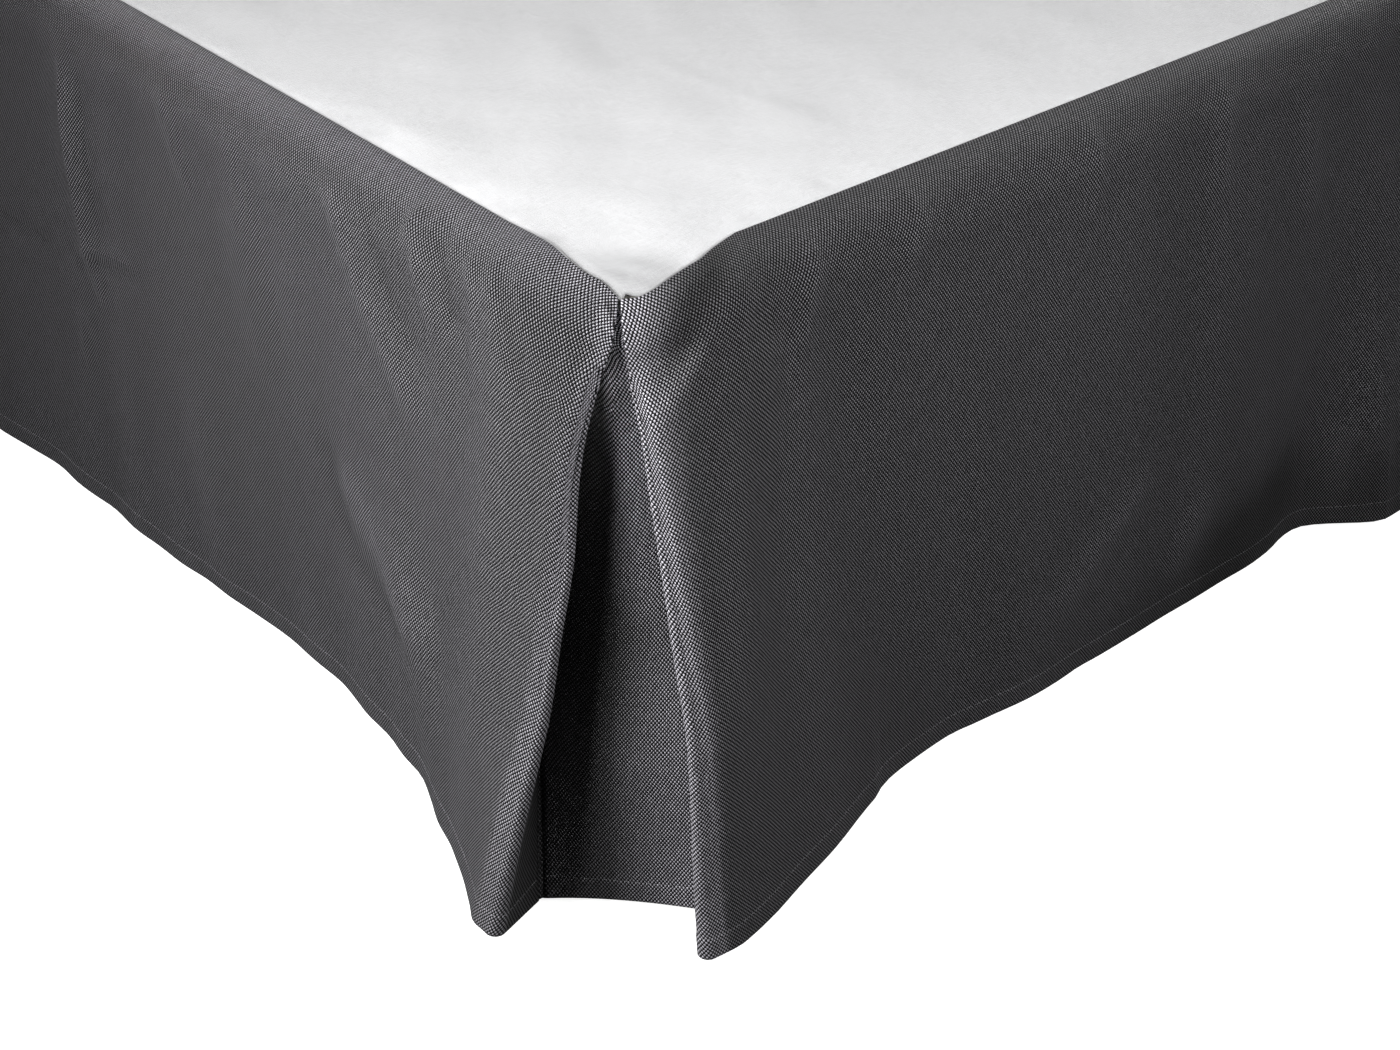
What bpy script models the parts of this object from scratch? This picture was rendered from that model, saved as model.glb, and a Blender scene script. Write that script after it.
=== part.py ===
# Bed skirt on a bed base: a white deck sheet lies on the base, and a heavy cloth drop
# hangs from its seam on both long sides and the foot, with an inverted pleat at each foot corner.
# Metres, +Z up. The origin is the bottom centre of the space that the whole takes up.

import math

import bmesh
import bpy
import numpy as np

COLLECTION = "bed_skirt_on_bed_base"

# The bed base
BED_WIDTH = 1.600
BED_LENGTH = 2.000
BASE_TOP = 0.498
BASE_UNDERSIDE = 0.200
CORNER_RADIUS = 0.118
EDGE_RADIUS = 0.038
EASED_RADIUS = 0.006
FOOT_FACE_Y = -0.9495
LEG_TOP_RADIUS = 0.027
LEG_FOOT_RADIUS = 0.019
LEG_SIDE_INSET = 0.110
LEG_END_INSET = 0.140
GAP = 0.0003

# The cloth
DROP_LENGTH = 0.520
DROP_THICKNESS = 0.0012
DECK_THICKNESS = 0.0010
SEAM_INSET = 0.040
HEM_HEIGHT = 0.005
CLEARANCE_AT_SEAM = 0.0020
CLEARANCE_AT_EDGE = 0.0026
CLEARANCE_RUN = 0.030
LAYER_STEP = 0.0016
DECK_GAP = 0.0010
DECK_LIFT = 0.0012

# The corner pleat. Seam positions are distances from the corner where the two faces meet.
TIP = (0.044, 0.038)
STATIONS = {"side": (0.053, 0.068, 0.084, 0.100, 0.118, 0.145),
            "foot": (0.056, 0.070, 0.086, 0.102, 0.120, 0.150)}
CREASE_STATION = 3
FLAP_BLEND = 0.120
DRIFT_REACH = 0.450
LAYER_BLEND = 0.060
FLARE_POWER = 1.25
JOIN_STEP = 0.0016
LAYER_CLEAR = 0.0024
PANEL_STEPS = 8

# How far in from its face the seam runs: (distance along the face, distance in)
SEAM_LINE = {"side": ((0.038, 0.044), (0.053, 0.041), (0.068, 0.0365), (0.084, 0.036),
                      (0.100, 0.0375), (0.118, 0.039), (0.145, 0.040)),
             "foot": ((0.044, 0.038), (0.056, 0.0298), (0.070, 0.0265), (0.086, 0.026),
                      (0.102, 0.0265), (0.120, 0.031), (0.150, 0.040))}

# Distances down the cloth from its seam: rows on the base's rounded edge, then rows that hang
EDGE_ROWS = (0.0, 0.011, 0.022, 0.034, 0.046)
HANG_ROWS = (0.065, 0.095, 0.140, 0.200, 0.265, 0.330, 0.395, 0.460, 0.520)

# The pleat's two front folds on the rounded edge: where they are along their seams, and how far
# they stand out over the layers
TOP_COLUMNS = ("down", "side_along", "side_out", "foot_along", "foot_out")
TOP_SECTIONS = (
    (0.000, 0.0402, 0.0000, 0.0462, 0.0000),
    (0.011, 0.0408, 0.0002, 0.0466, 0.0001),
    (0.022, 0.0420, 0.0008, 0.0474, 0.0003),
    (0.034, 0.0438, 0.0022, 0.0484, 0.0009),
    (0.046, 0.0465, 0.0045, 0.0496, 0.0018),
)

# The hanging pleat in plan, a row for each section down the cloth, measured in from the side
# face and from the foot face: the side flap's fold, the foot flap's fold, the crease behind each,
# and the middle of the back panel, which lies as far in from both faces.
PLEAT_COLUMNS = ("down", "side_x", "side_y", "foot_x", "foot_y",
                 "crease_x", "crease_y", "back_x", "back_y", "middle", "fold", "bend")
PLEAT_SECTIONS = (
    (0.065, 0.018, 0.032, 0.038, 0.019, 0.0012, 0.087, 0.088, 0.0012, 0.032, 0.0016, 0.0009),
    (0.095, 0.008, 0.032, 0.035, 0.005, 0.0010, 0.086, 0.086, 0.0010, 0.031, 0.0022, 0.0012),
    (0.140, -0.002, 0.031, 0.031, -0.009, 0.000, 0.086, 0.083, -0.001, 0.029, 0.0030, 0.0018),
    (0.200, -0.009, 0.030, 0.025, -0.030, -0.003, 0.085, 0.076, -0.006, 0.025, 0.0038, 0.0026),
    (0.265, -0.023, 0.030, 0.019, -0.051, -0.007, 0.084, 0.068, -0.022, 0.021, 0.0045, 0.0036),
    (0.330, -0.037, 0.029, 0.015, -0.070, -0.012, 0.076, 0.062, -0.037, 0.015, 0.0050, 0.0046),
    (0.395, -0.058, 0.028, 0.013, -0.077, -0.019, 0.066, 0.057, -0.043, 0.009, 0.0056, 0.0056),
    (0.460, -0.079, 0.027, 0.010, -0.084, -0.031, 0.052, 0.051, -0.048, 0.004, 0.0062, 0.0070),
    (0.520, -0.096, 0.026, 0.007, -0.094, -0.044, 0.037, 0.042, -0.053, -0.001, 0.0070, 0.0085),
)

# How far the hem stands out from each face: (distance from the foot corner, or from the left
# corner on the foot; distance out)
SIDE_HEM = ((0.026, 0.097), (0.045, 0.097), (0.065, 0.088), (0.095, 0.073), (0.125, 0.060),
            (0.155, 0.049), (0.185, 0.035), (0.215, 0.026), (0.245, 0.022), (0.275, 0.016),
            (0.305, 0.0135), (0.335, 0.008), (0.365, 0.0045), (0.410, 0.003), (0.485, 0.004),
            (0.545, 0.007), (0.605, 0.013), (0.680, 0.0155), (0.725, 0.0145), (0.785, 0.017),
            (0.820, 0.0145), (0.870, 0.020), (0.924, 0.027), (1.020, 0.024), (1.180, 0.013),
            (1.350, 0.021), (1.520, 0.012), (1.700, 0.020), (1.850, 0.014), (1.997, 0.018))
FOOT_HEM = ((0.010, 0.098), (0.037, 0.100), (0.050, 0.098), (0.080, 0.0905), (0.110, 0.081),
            (0.155, 0.0665), (0.200, 0.051), (0.230, 0.040), (0.245, 0.033), (0.260, 0.029),
            (0.290, 0.025), (0.335, 0.0205), (0.365, 0.024), (0.410, 0.0265), (0.455, 0.028),
            (0.490, 0.0252), (0.545, 0.025), (0.605, 0.0228), (0.701, 0.0205), (0.740, 0.017),
            (0.775, 0.012), (0.790, 0.012), (0.800, 0.0135), (0.815, 0.020), (0.845, 0.039),
            (0.860, 0.045), (0.890, 0.053), (0.930, 0.054), (0.990, 0.034), (1.060, 0.018),
            (1.160, 0.014), (1.260, 0.022), (1.344, 0.034), (1.407, 0.051), (1.466, 0.072),
            (1.525, 0.091), (1.563, 0.098), (1.590, 0.095))

# Soft folds, a row each: where it starts and ends along the face (at the top and at the hem),
# its half width, how far it stands out (or in, below zero), and where down the cloth it begins,
# is deepest and ends, as shares of the hanging length.
FOLD_COLUMNS = ("top", "hem", "half_width", "depth", "begins", "deepest", "ends")
SIDE_FOLDS = {
    "left": (
        (0.722, 0.700, 0.045, 0.0070, -0.10, 0.18, 0.46),
        (0.640, 0.720, 0.060, -0.0050, 0.10, 0.45, 0.85),
        (0.455, 0.400, 0.050, 0.0050, -0.05, 0.20, 0.60),
        (0.400, 0.345, 0.040, -0.0040, -0.05, 0.25, 0.65),
        (0.330, 0.175, 0.050, 0.0080, 0.25, 0.70, 1.30),
        (0.560, 0.520, 0.060, 0.0045, 0.30, 0.75, 1.30),
        (0.215, 0.190, 0.030, -0.0040, -0.05, 0.12, 0.40),
        (1.080, 1.050, 0.060, -0.0060, 0.10, 0.60, 1.40),
        (1.270, 1.300, 0.055, 0.0060, -0.05, 0.45, 1.30),
        (1.480, 1.450, 0.050, -0.0050, 0.15, 0.65, 1.40),
        (1.660, 1.640, 0.050, 0.0060, -0.05, 0.55, 1.40),
        (1.860, 1.840, 0.050, 0.0050, 0.10, 0.60, 1.40),
    ),
    "right": (
        (0.300, 0.210, 0.050, 0.0070, 0.20, 0.70, 1.30),
        (0.480, 0.430, 0.055, -0.0050, 0.05, 0.40, 1.10),
        (0.700, 0.670, 0.060, 0.0060, -0.05, 0.50, 1.30),
        (0.900, 0.930, 0.055, -0.0050, 0.10, 0.60, 1.40),
        (1.160, 1.140, 0.060, 0.0060, -0.05, 0.50, 1.30),
        (1.420, 1.440, 0.055, -0.0050, 0.10, 0.60, 1.40),
        (1.700, 1.690, 0.055, 0.0060, -0.05, 0.50, 1.30),
    ),
}
FOOT_FOLDS = (
    (0.125, 0.165, 0.035, 0.0050, -0.05, 0.10, 0.35),
    (0.200, 0.270, 0.045, -0.0040, -0.05, 0.20, 0.80),
    (0.330, 0.420, 0.060, 0.0040, -0.05, 0.55, 1.30),
    (0.650, 0.690, 0.060, 0.0050, -0.05, 0.40, 1.20),
    (0.770, 0.790, 0.045, -0.0060, 0.40, 0.80, 1.30),
    (0.850, 0.862, 0.028, 0.0060, 0.45, 0.85, 1.30),
    (1.000, 1.010, 0.055, -0.0050, 0.05, 0.55, 1.30),
    (1.150, 1.140, 0.060, 0.0060, -0.05, 0.50, 1.30),
    (1.330, 1.300, 0.050, -0.0040, -0.05, 0.35, 0.90),
    (1.440, 1.410, 0.045, 0.0050, 0.10, 0.65, 1.30),
)

# Columns along the drop and grid lines across the deck
FAR_COLUMN = 0.190
FLAP_PITCH = 0.036
FOLD_STEPS = 5
BEND_STEPS = 3
HEAD_INSET = 0.003
DECK_ACROSS = 8
DECK_ALONG = 10
DECK_PULL_REACH = 0.110
DECK_TIP_LIFT = 0.0022

COLORS = {
    "drop": ((0.058, 0.058, 0.066, 1.0), 0.90),
    "deck": ((0.80, 0.80, 0.82, 1.0), 0.85),
    "base": ((0.55, 0.53, 0.50, 1.0), 0.90),
    "leg": ((0.42, 0.29, 0.17, 1.0), 0.50),
}


def clear_scene():
    for thing in list(bpy.data.objects):
        bpy.data.objects.remove(thing)


def make_material(name):
    color, roughness = COLORS[name]
    material = bpy.data.materials.new(name)
    material.use_nodes = True
    shader = material.node_tree.nodes["Principled BSDF"]
    shader.inputs["Base Color"].default_value = color
    shader.inputs["Roughness"].default_value = roughness
    shader.inputs["Metallic"].default_value = 0.0
    material.diffuse_color = color
    return material


def add_object(name, mesh, material):
    mesh.materials.append(material)
    thing = bpy.data.objects.new(name, mesh)
    bpy.data.collections[COLLECTION].objects.link(thing)
    return thing


def mesh_from_grid(name, points):
    """A sheet of quads over points[row][column]. Each quad starts at its corner farther from the
    pleat, so that layers that lie over each other are split along the same diagonals."""
    rows, columns = points.shape[:2]
    vertices = points.reshape(-1, 3).tolist()
    across = np.abs(points[0, :, 0]) - (0.5 * BED_WIDTH - TIP[0])
    reach = np.hypot(across, points[0, :, 1] - (FOOT_FACE_Y + TIP[1]))
    faces = []
    for row in range(rows - 1):
        for column in range(columns - 1):
            first = row * columns + column
            below = first + columns
            if reach[column] > reach[column + 1]:
                faces.append((first, first + 1, below + 1, below))
            else:
                faces.append((first + 1, below + 1, below, first))
    mesh = bpy.data.meshes.new(name)
    mesh.from_pydata(vertices, [], faces)
    mesh.shade_smooth()
    return mesh


def thicken(thing, thickness):
    split = thing.modifiers.new("split", "TRIANGULATE")
    split.quad_method = "FIXED"
    solidify = thing.modifiers.new("thickness", "SOLIDIFY")
    solidify.thickness = thickness
    solidify.offset = 0.0


def eased(share):
    """0 below 0, 1 above 1, and a smooth step between."""
    share = min(max(share, 0.0), 1.0)
    return share * share * (3.0 - 2.0 * share)


def smooth_through(xs, ys, x):
    """A smooth curve through the table's points, which doesn't overshoot."""
    xs = np.asarray(xs, float)
    ys = np.asarray(ys, float)
    steps = np.diff(xs)
    slopes = np.diff(ys) / steps
    tangents = np.zeros(len(xs))
    tangents[0] = slopes[0]
    tangents[-1] = slopes[-1]
    same_way = slopes[:-1] * slopes[1:] > 0
    total = slopes[:-1] + slopes[1:]
    total[~same_way] = 1.0
    tangents[1:-1] = np.where(same_way, 2.0 * slopes[:-1] * slopes[1:] / total, 0.0)
    x = min(max(x, xs[0]), xs[-1])
    k = min(int(np.searchsorted(xs, x, side="right")) - 1, len(xs) - 2)
    s = (x - xs[k]) / steps[k]
    start = (1 + 2 * s) * (1 - s) ** 2 * ys[k] + s * (1 - s) ** 2 * steps[k] * tangents[k]
    end = s * s * (3 - 2 * s) * ys[k + 1] + s * s * (s - 1) * steps[k] * tangents[k + 1]
    return start + end


def table_value(columns, rows, column, down):
    """A column of a pleat table at any distance down the cloth."""
    place = columns.index(column)
    return smooth_through([row[0] for row in rows], [row[place] for row in rows], down)


def top(column, down):
    return table_value(TOP_COLUMNS, TOP_SECTIONS, column, down)


def pleat(column, down):
    return table_value(PLEAT_COLUMNS, PLEAT_SECTIONS, column, down)


def pleat_point(name, down):
    """A point of the hanging pleat in plan."""
    return np.array([pleat(name + "_x", down), pleat(name + "_y", down)])


def unit(vector):
    return vector / np.linalg.norm(vector)


def layer_out(layer, down):
    """How far the cloth is out from the base. Layer 0 lies on it, 1 and 2 lie over that."""
    rise = (CLEARANCE_AT_EDGE - CLEARANCE_AT_SEAM) * min(down / CLEARANCE_RUN, 1.0)
    return CLEARANCE_AT_SEAM + rise + LAYER_STEP * layer


def outline_normal(point):
    """The way out of the base's outline from a plan point, and how far in from it the point is."""
    if point[0] < CORNER_RADIUS and point[1] < CORNER_RADIUS:
        out = point - CORNER_RADIUS
        reach = float(np.linalg.norm(out))
        return out / reach, CORNER_RADIUS - reach
    if point[0] < point[1]:
        return np.array([-1.0, 0.0]), point[0]
    return np.array([0.0, -1.0]), point[1]


def keep_clear(plan, out):
    """Moves a plan point out until it is as far as this from the base's sides."""
    normal, inset = outline_normal(plan)
    return plan + normal * max(inset + out, 0.0)


def drape(seam, down, out):
    """Where cloth that falls straight from a seam point is, so far out from the base: its plan
    point, its height, and the share of its hanging length that is above it."""
    normal, inset = outline_normal(seam)
    flat = max(inset - EDGE_RADIUS, 0.0)
    first = math.asin((EDGE_RADIUS - min(inset, EDGE_RADIUS)) / EDGE_RADIUS)
    run = EDGE_RADIUS + CLEARANCE_AT_EDGE
    free_from = flat + (0.5 * math.pi - first) * run
    if down < flat:
        return seam + normal * down, BASE_TOP + out, 0.0
    angle = min(first + (down - flat) / run, 0.5 * math.pi)
    centre = seam + normal * (inset - EDGE_RADIUS)
    plan = centre + normal * (EDGE_RADIUS + out) * math.sin(angle)
    height = BASE_TOP - EDGE_RADIUS + (EDGE_RADIUS + out) * math.cos(angle)
    share = max((down - free_from) / (DROP_LENGTH - free_from), 0.0)
    return plan, height + (HEM_HEIGHT - height) * share, share


def seam_point(face, along):
    """The seam's plan point. face is side or foot, and along is the distance from the corner."""
    inward = smooth_through(*zip(*SEAM_LINE[face]), along)
    return np.array([inward, along]) if face == "side" else np.array([along, inward])


def tip_along(face):
    return TIP[1] if face == "side" else TIP[0]


def fold_relief(folds, along, share):
    """How far the soft folds push the cloth out at a place along a face."""
    total = 0.0
    for row in folds:
        fold = dict(zip(FOLD_COLUMNS, row))
        middle = fold["top"] + (fold["hem"] - fold["top"]) * share
        across = 1.0 - eased(abs(along - middle) / fold["half_width"])
        if share < fold["deepest"]:
            run = fold["deepest"] - fold["begins"]
            down = eased((share - fold["begins"]) / run)
        else:
            run = fold["ends"] - fold["deepest"]
            down = 1.0 - eased((share - fold["deepest"]) / run)
        total += fold["depth"] * across * down
    return total


def flap_layer(face, from_corner):
    """How many layers a flap lies over. It comes down to the base past the pleat."""
    past = from_corner - STATIONS[face][CREASE_STATION]
    return 2.0 * (1.0 - eased(past / LAYER_BLEND))


def flap_on_edge(face, folds, along, from_corner, down):
    """A point of a flap where it lies on the base's rounded edge."""
    reach = (from_corner - top(face + "_along", down)) / FLAP_BLEND
    out = layer_out(flap_layer(face, from_corner), down)
    out += top(face + "_out", down) * (1.0 - eased(reach))
    out += fold_relief(folds, along, 0.0) * eased(down / HANG_ROWS[0])
    return drape(seam_point(face, from_corner), down, max(out, layer_out(0, down)))[:2]


def hanging(face, hem, folds, whole, seam, layer, down, sideways):
    """A hanging point below a seam point, before the pleat pulls at it."""
    axis_out, axis_along = (0, 1) if face == "side" else (1, 0)
    plan, height, share = drape(seam, down, layer_out(layer, down))
    flare = share ** FLARE_POWER
    plan[axis_out] += (-smooth_through(*zip(*hem), whole) - plan[axis_out]) * flare
    plan[axis_out] -= fold_relief(folds, whole, share)
    plan[axis_along] += (seam[axis_along] - plan[axis_along]) * flare + sideways
    return plan, height


def flap_hanging(face, hem, folds, along, from_corner, down, edge):
    """A point of a flap where it hangs, with the flap's fold at the plan point edge."""
    axis_out, axis_along = (0, 1) if face == "side" else (1, 0)
    start = tip_along(face)
    toward = 1.0 if along == from_corner else -1.0
    reach = from_corner - start
    drift = (edge[axis_along] - start) * (1.0 - eased(reach / DRIFT_REACH))
    plan, height = hanging(face, hem, folds, along + toward * drift, seam_point(face, from_corner),
                           flap_layer(face, from_corner), down, drift)
    at_edge = hanging(face, hem, folds, along - toward * (from_corner - edge[axis_along]),
                      seam_point(face, start), 2.0, down, 0.0)[0]
    plan[axis_out] += (edge - at_edge)[axis_out] * (1.0 - eased(reach / FLAP_BLEND))
    return keep_clear(plan, layer_out(flap_layer(face, from_corner), down)), height


def flap_columns(face, far_end):
    """Seam distances of a flap's columns, from its far end to the last one before the fold."""
    count = round((far_end - FAR_COLUMN) / FLAP_PITCH)
    far = [far_end + (FAR_COLUMN - far_end) * k / count for k in range(count)]
    return far + [FAR_COLUMN] + list(reversed(STATIONS[face]))


def fold_on_edge(face, down):
    """A flap's front fold on the rounded edge, from the flap's side to the return's."""
    points = []
    for k in range(FOLD_STEPS):
        turn = math.pi * k / (FOLD_STEPS - 1)
        along = top(face + "_along", down) - 0.5 * LAYER_STEP * math.sin(turn)
        out = layer_out(1.5 + 0.5 * math.cos(turn), down) + top(face + "_out", down)
        points.append(drape(seam_point(face, along), down, out)[:2])
    return points


def turn_round(apex, way_in, way_out, radius, hand, steps):
    """Plan points round a fold whose outermost point is apex, from its first side to its second.
    Both ways lead from the fold into the cloth, and hand says which way it turns."""
    middle = unit(way_in + way_out)
    half_turn = 0.5 * (math.pi - math.acos(float(np.clip(way_in @ way_out, -1.0, 1.0))))
    points = []
    for k in range(steps):
        turn = math.pi - hand * half_turn * (1.0 - 2.0 * k / (steps - 1))
        turned = np.array([middle[0] * math.cos(turn) - middle[1] * math.sin(turn),
                           middle[0] * math.sin(turn) + middle[1] * math.cos(turn)])
        points.append(apex + (middle + turned) * radius)
    return points


def panel_hanging(down):
    """The hanging back panel in plan, from crease to crease, bowed across the corner."""
    crease = keep_clear(pleat_point("crease", down), layer_out(0.5, down))
    back = keep_clear(pleat_point("back", down), layer_out(0, down))
    control = 2.0 * np.full(2, pleat("middle", down)) - 0.5 * (crease + back)
    points = [crease]
    for k in range(1, PANEL_STEPS):
        share = k / PANEL_STEPS
        left = 1.0 - share
        plan = left * left * crease + 2.0 * share * left * control + share * share * back
        points.append(keep_clear(plan, layer_out(0, down)))
    return points + [back]


def outside_of(face, plan, others):
    """Moves a plan point out from its face until it clears the cloth behind it."""
    axis_out, axis_along = (0, 1) if face == "side" else (1, 0)
    in_order = sorted((other[axis_along], other[axis_out]) for other in others)
    alongs, outs = zip(*in_order)
    if alongs[0] <= plan[axis_along] <= alongs[-1]:
        behind = float(np.interp(plan[axis_along], alongs, outs))
        plan[axis_out] = min(plan[axis_out], behind - LAYER_CLEAR)
    return plan


def flap_fold_return(face, hem, folds, columns, along_of, down):
    """A row of a flap from its far end, its front fold, and the return up to the crease."""
    stations = STATIONS[face][:CREASE_STATION]
    if down in EDGE_ROWS:
        row = [flap_on_edge(face, folds, along_of(c), c, down) for c in columns]
        row += fold_on_edge(face, down)
        for k, station in enumerate(stations):
            left = 1.0 - (k + 1) / (CREASE_STATION + 1)
            out = layer_out(1, down) + top(face + "_out", down) * left
            row.append(drape(seam_point(face, station), down, out)[:2])
        return row
    panel = panel_hanging(down)
    crease = panel[0] if face == "side" else panel[-1]
    near_crease = STATIONS[face][CREASE_STATION]
    apex = pleat_point(face, down)
    beside = flap_hanging(face, hem, folds, along_of(near_crease), near_crease, down, apex)[0]
    hand = 1.0 if face == "side" else -1.0
    arc = turn_round(apex, unit(beside - apex), unit(crease - apex), pleat("fold", down), hand,
                     FOLD_STEPS)
    height = drape(np.array(TIP), down, 0.0)[1]
    fold = [(plan, height) for plan in arc]
    back = []
    for k, station in enumerate(stations):
        plan = arc[-1] + (crease - arc[-1]) * (k + 1) / (CREASE_STATION + 1)
        back.append((outside_of(face, plan, panel), drape(seam_point(face, station), down, 0.0)[1]))
    behind = [arc[-1]] + [plan for plan, _ in back] + [crease]
    flap = []
    for c in columns:
        plan, height = flap_hanging(face, hem, folds, along_of(c), c, down, arc[0])
        flap.append((outside_of(face, plan, behind), height))
    return flap + fold + back


def crease_and_panel(before, down):
    """The crease behind the side flap and the back panel across the corner, up to its far end."""
    points = []
    panel = panel_hanging(down)
    arc = turn_round(panel[0], unit(before - panel[0]), unit(panel[1] - panel[0]),
                     pleat("bend", down), -1.0, BEND_STEPS)
    for k in range(BEND_STEPS):
        turn = math.pi * k / (BEND_STEPS - 1)
        along = STATIONS["side"][CREASE_STATION] + 0.5 * LAYER_STEP * math.sin(turn)
        out = layer_out(0.5 + 0.5 * math.cos(turn), down)
        plan, height, _ = drape(seam_point("side", along), down, out)
        points.append((plan if down in EDGE_ROWS else arc[k], height))
    seams = [seam_point("side", along) for along in reversed(STATIONS["side"][:CREASE_STATION])]
    seams.append(np.array(TIP))
    seams += [seam_point("foot", along) for along in STATIONS["foot"][:CREASE_STATION + 1]]
    for k, seam in enumerate(seams):
        plan, height, _ = drape(seam, down, layer_out(0, down))
        points.append((plan if down in EDGE_ROWS else panel[k + 1], height))
    return points


def hidden_end(previous, down):
    """The foot drop's end, which lies against the outer face of the side drop's back panel."""
    seam = seam_point("foot", STATIONS["foot"][CREASE_STATION])
    plan, height, _ = drape(seam, down, layer_out(1, down))
    if down in EDGE_ROWS:
        return plan, height
    beside, back = panel_hanging(down)[-2:]
    panel = unit(back - beside)
    outward = np.array([panel[1], -panel[0]])
    if outward @ (previous - back) < 0:
        outward = -outward
    return back + outward * JOIN_STEP, height


def side_drop_points(folds):
    """A side drop in the corner's plan frame: flap, fold, return, crease and back panel."""
    columns = flap_columns("side", BED_LENGTH - HEAD_INSET)
    rows = []
    for down in EDGE_ROWS + HANG_ROWS:
        row = flap_fold_return("side", SIDE_HEM, folds, columns, lambda along: along, down)
        row += crease_and_panel(row[-1][0], down)
        rows.append([(plan[0], plan[1], height) for plan, height in row])
    return np.array(rows)


def foot_half_points(mirrored):
    """Half of the foot drop in its corner's plan frame, from the middle to the hidden crease."""
    def along_of(from_corner):
        return BED_WIDTH - from_corner if mirrored else from_corner

    columns = flap_columns("foot", 0.5 * BED_WIDTH)
    rows = []
    for down in EDGE_ROWS + HANG_ROWS:
        row = flap_fold_return("foot", FOOT_HEM, FOOT_FOLDS, columns, along_of, down)
        row.append(hidden_end(row[-1][0], down))
        rows.append([(plan[0], plan[1], height) for plan, height in row])
    return np.array(rows)


def to_world(points, side):
    """From the corner's plan frame to the world. side is -1 for the left corner, 1 for the right."""
    world = points.copy()
    world[..., 0] = side * (0.5 * BED_WIDTH - points[..., 0])
    world[..., 1] = FOOT_FACE_Y + points[..., 1]
    return world


def make_side_drop(name, side, material):
    folds = SIDE_FOLDS["left" if side < 0 else "right"]
    points = to_world(side_drop_points(folds), side)
    thing = add_object(name, mesh_from_grid(name, points), material)
    thicken(thing, DROP_THICKNESS)


def make_foot_drop(material):
    left = to_world(foot_half_points(False), -1)[:, ::-1]
    right = to_world(foot_half_points(True), 1)[:, 1:]
    points = np.concatenate([left, right], axis=1)
    thing = add_object("foot_drop", mesh_from_grid("foot_drop", points), material)
    thicken(thing, DROP_THICKNESS)


def deck_point(across, along):
    """A point of the deck in a corner's frame, from its distances in from the two faces."""
    plan = np.array([across, along])
    side_seam = seam_point("side", along)[0] + DECK_GAP
    foot_seam = seam_point("foot", across)[1] + DECK_GAP
    plan[0] += (side_seam - SEAM_INSET) * (1.0 - eased((across - SEAM_INSET) / DECK_PULL_REACH))
    plan[1] += (foot_seam - SEAM_INSET) * (1.0 - eased((along - SEAM_INSET) / DECK_PULL_REACH))
    near_tip = 1.0 - eased(math.dist((across, along), TIP) / DECK_PULL_REACH)
    plan, height, _ = drape(plan, 0.0, DECK_LIFT + DECK_TIP_LIFT * near_tip)
    return plan[0], plan[1], height


def deck_lines(face, far_end, count):
    """Grid lines of the deck in from a face: its seam, the pleat's stations and on to far_end."""
    far = [FAR_COLUMN + (far_end - FAR_COLUMN) * k / count for k in range(count + 1)]
    return [SEAM_INSET] + list(STATIONS[face]) + far


def make_deck(material):
    across = deck_lines("foot", 0.5 * BED_WIDTH, DECK_ACROSS)
    along = deck_lines("side", BED_LENGTH - HEAD_INSET, DECK_ALONG)
    half = np.array([[deck_point(a, b) for a in across] for b in along])
    left = to_world(half, -1)
    right = to_world(half, 1)[:, -2::-1]
    points = np.concatenate([left, right], axis=1)
    thing = add_object("deck", mesh_from_grid("deck", points), material)
    thicken(thing, DECK_THICKNESS)


def round_edges(shape, edges, radius, segments):
    bmesh.ops.bevel(shape, geom=edges, offset=radius, segments=segments, profile=0.5,
                    affect="EDGES")


def make_base(material):
    """A box with its foot corners rounded in plan, and a rounded top edge under the drops. The
    edges of its head end and of its underside are only eased."""
    shape = bmesh.new()
    bmesh.ops.create_cube(shape, size=1.0)
    size = (BED_WIDTH, BED_LENGTH, BASE_TOP - BASE_UNDERSIDE)
    bmesh.ops.scale(shape, vec=size, verts=shape.verts)
    top_z = 0.5 * size[2]
    head_y = 0.5 * size[1]
    upright = [e for e in shape.edges
               if abs(e.verts[0].co.z - e.verts[1].co.z) > 0.1 and e.verts[0].co.y < 0.0]
    round_edges(shape, upright, CORNER_RADIUS, 10)
    upper = [e for e in shape.edges if min(v.co.z for v in e.verts) > top_z - 0.001
             and min(v.co.y for v in e.verts) < head_y - 0.001]
    round_edges(shape, upper, EDGE_RADIUS, 6)
    left_sharp = [e for e in shape.edges if e.calc_face_angle() > math.radians(60)]
    round_edges(shape, left_sharp, EASED_RADIUS, 2)
    mesh = bpy.data.meshes.new("bed_base")
    shape.to_mesh(mesh)
    shape.free()
    mesh.shade_smooth()
    mesh.set_sharp_from_angle(angle=math.radians(35))
    thing = add_object("bed_base", mesh, material)
    thing.location = (0.0, FOOT_FACE_Y + 0.5 * BED_LENGTH, 0.5 * (BASE_TOP + BASE_UNDERSIDE))


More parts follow.
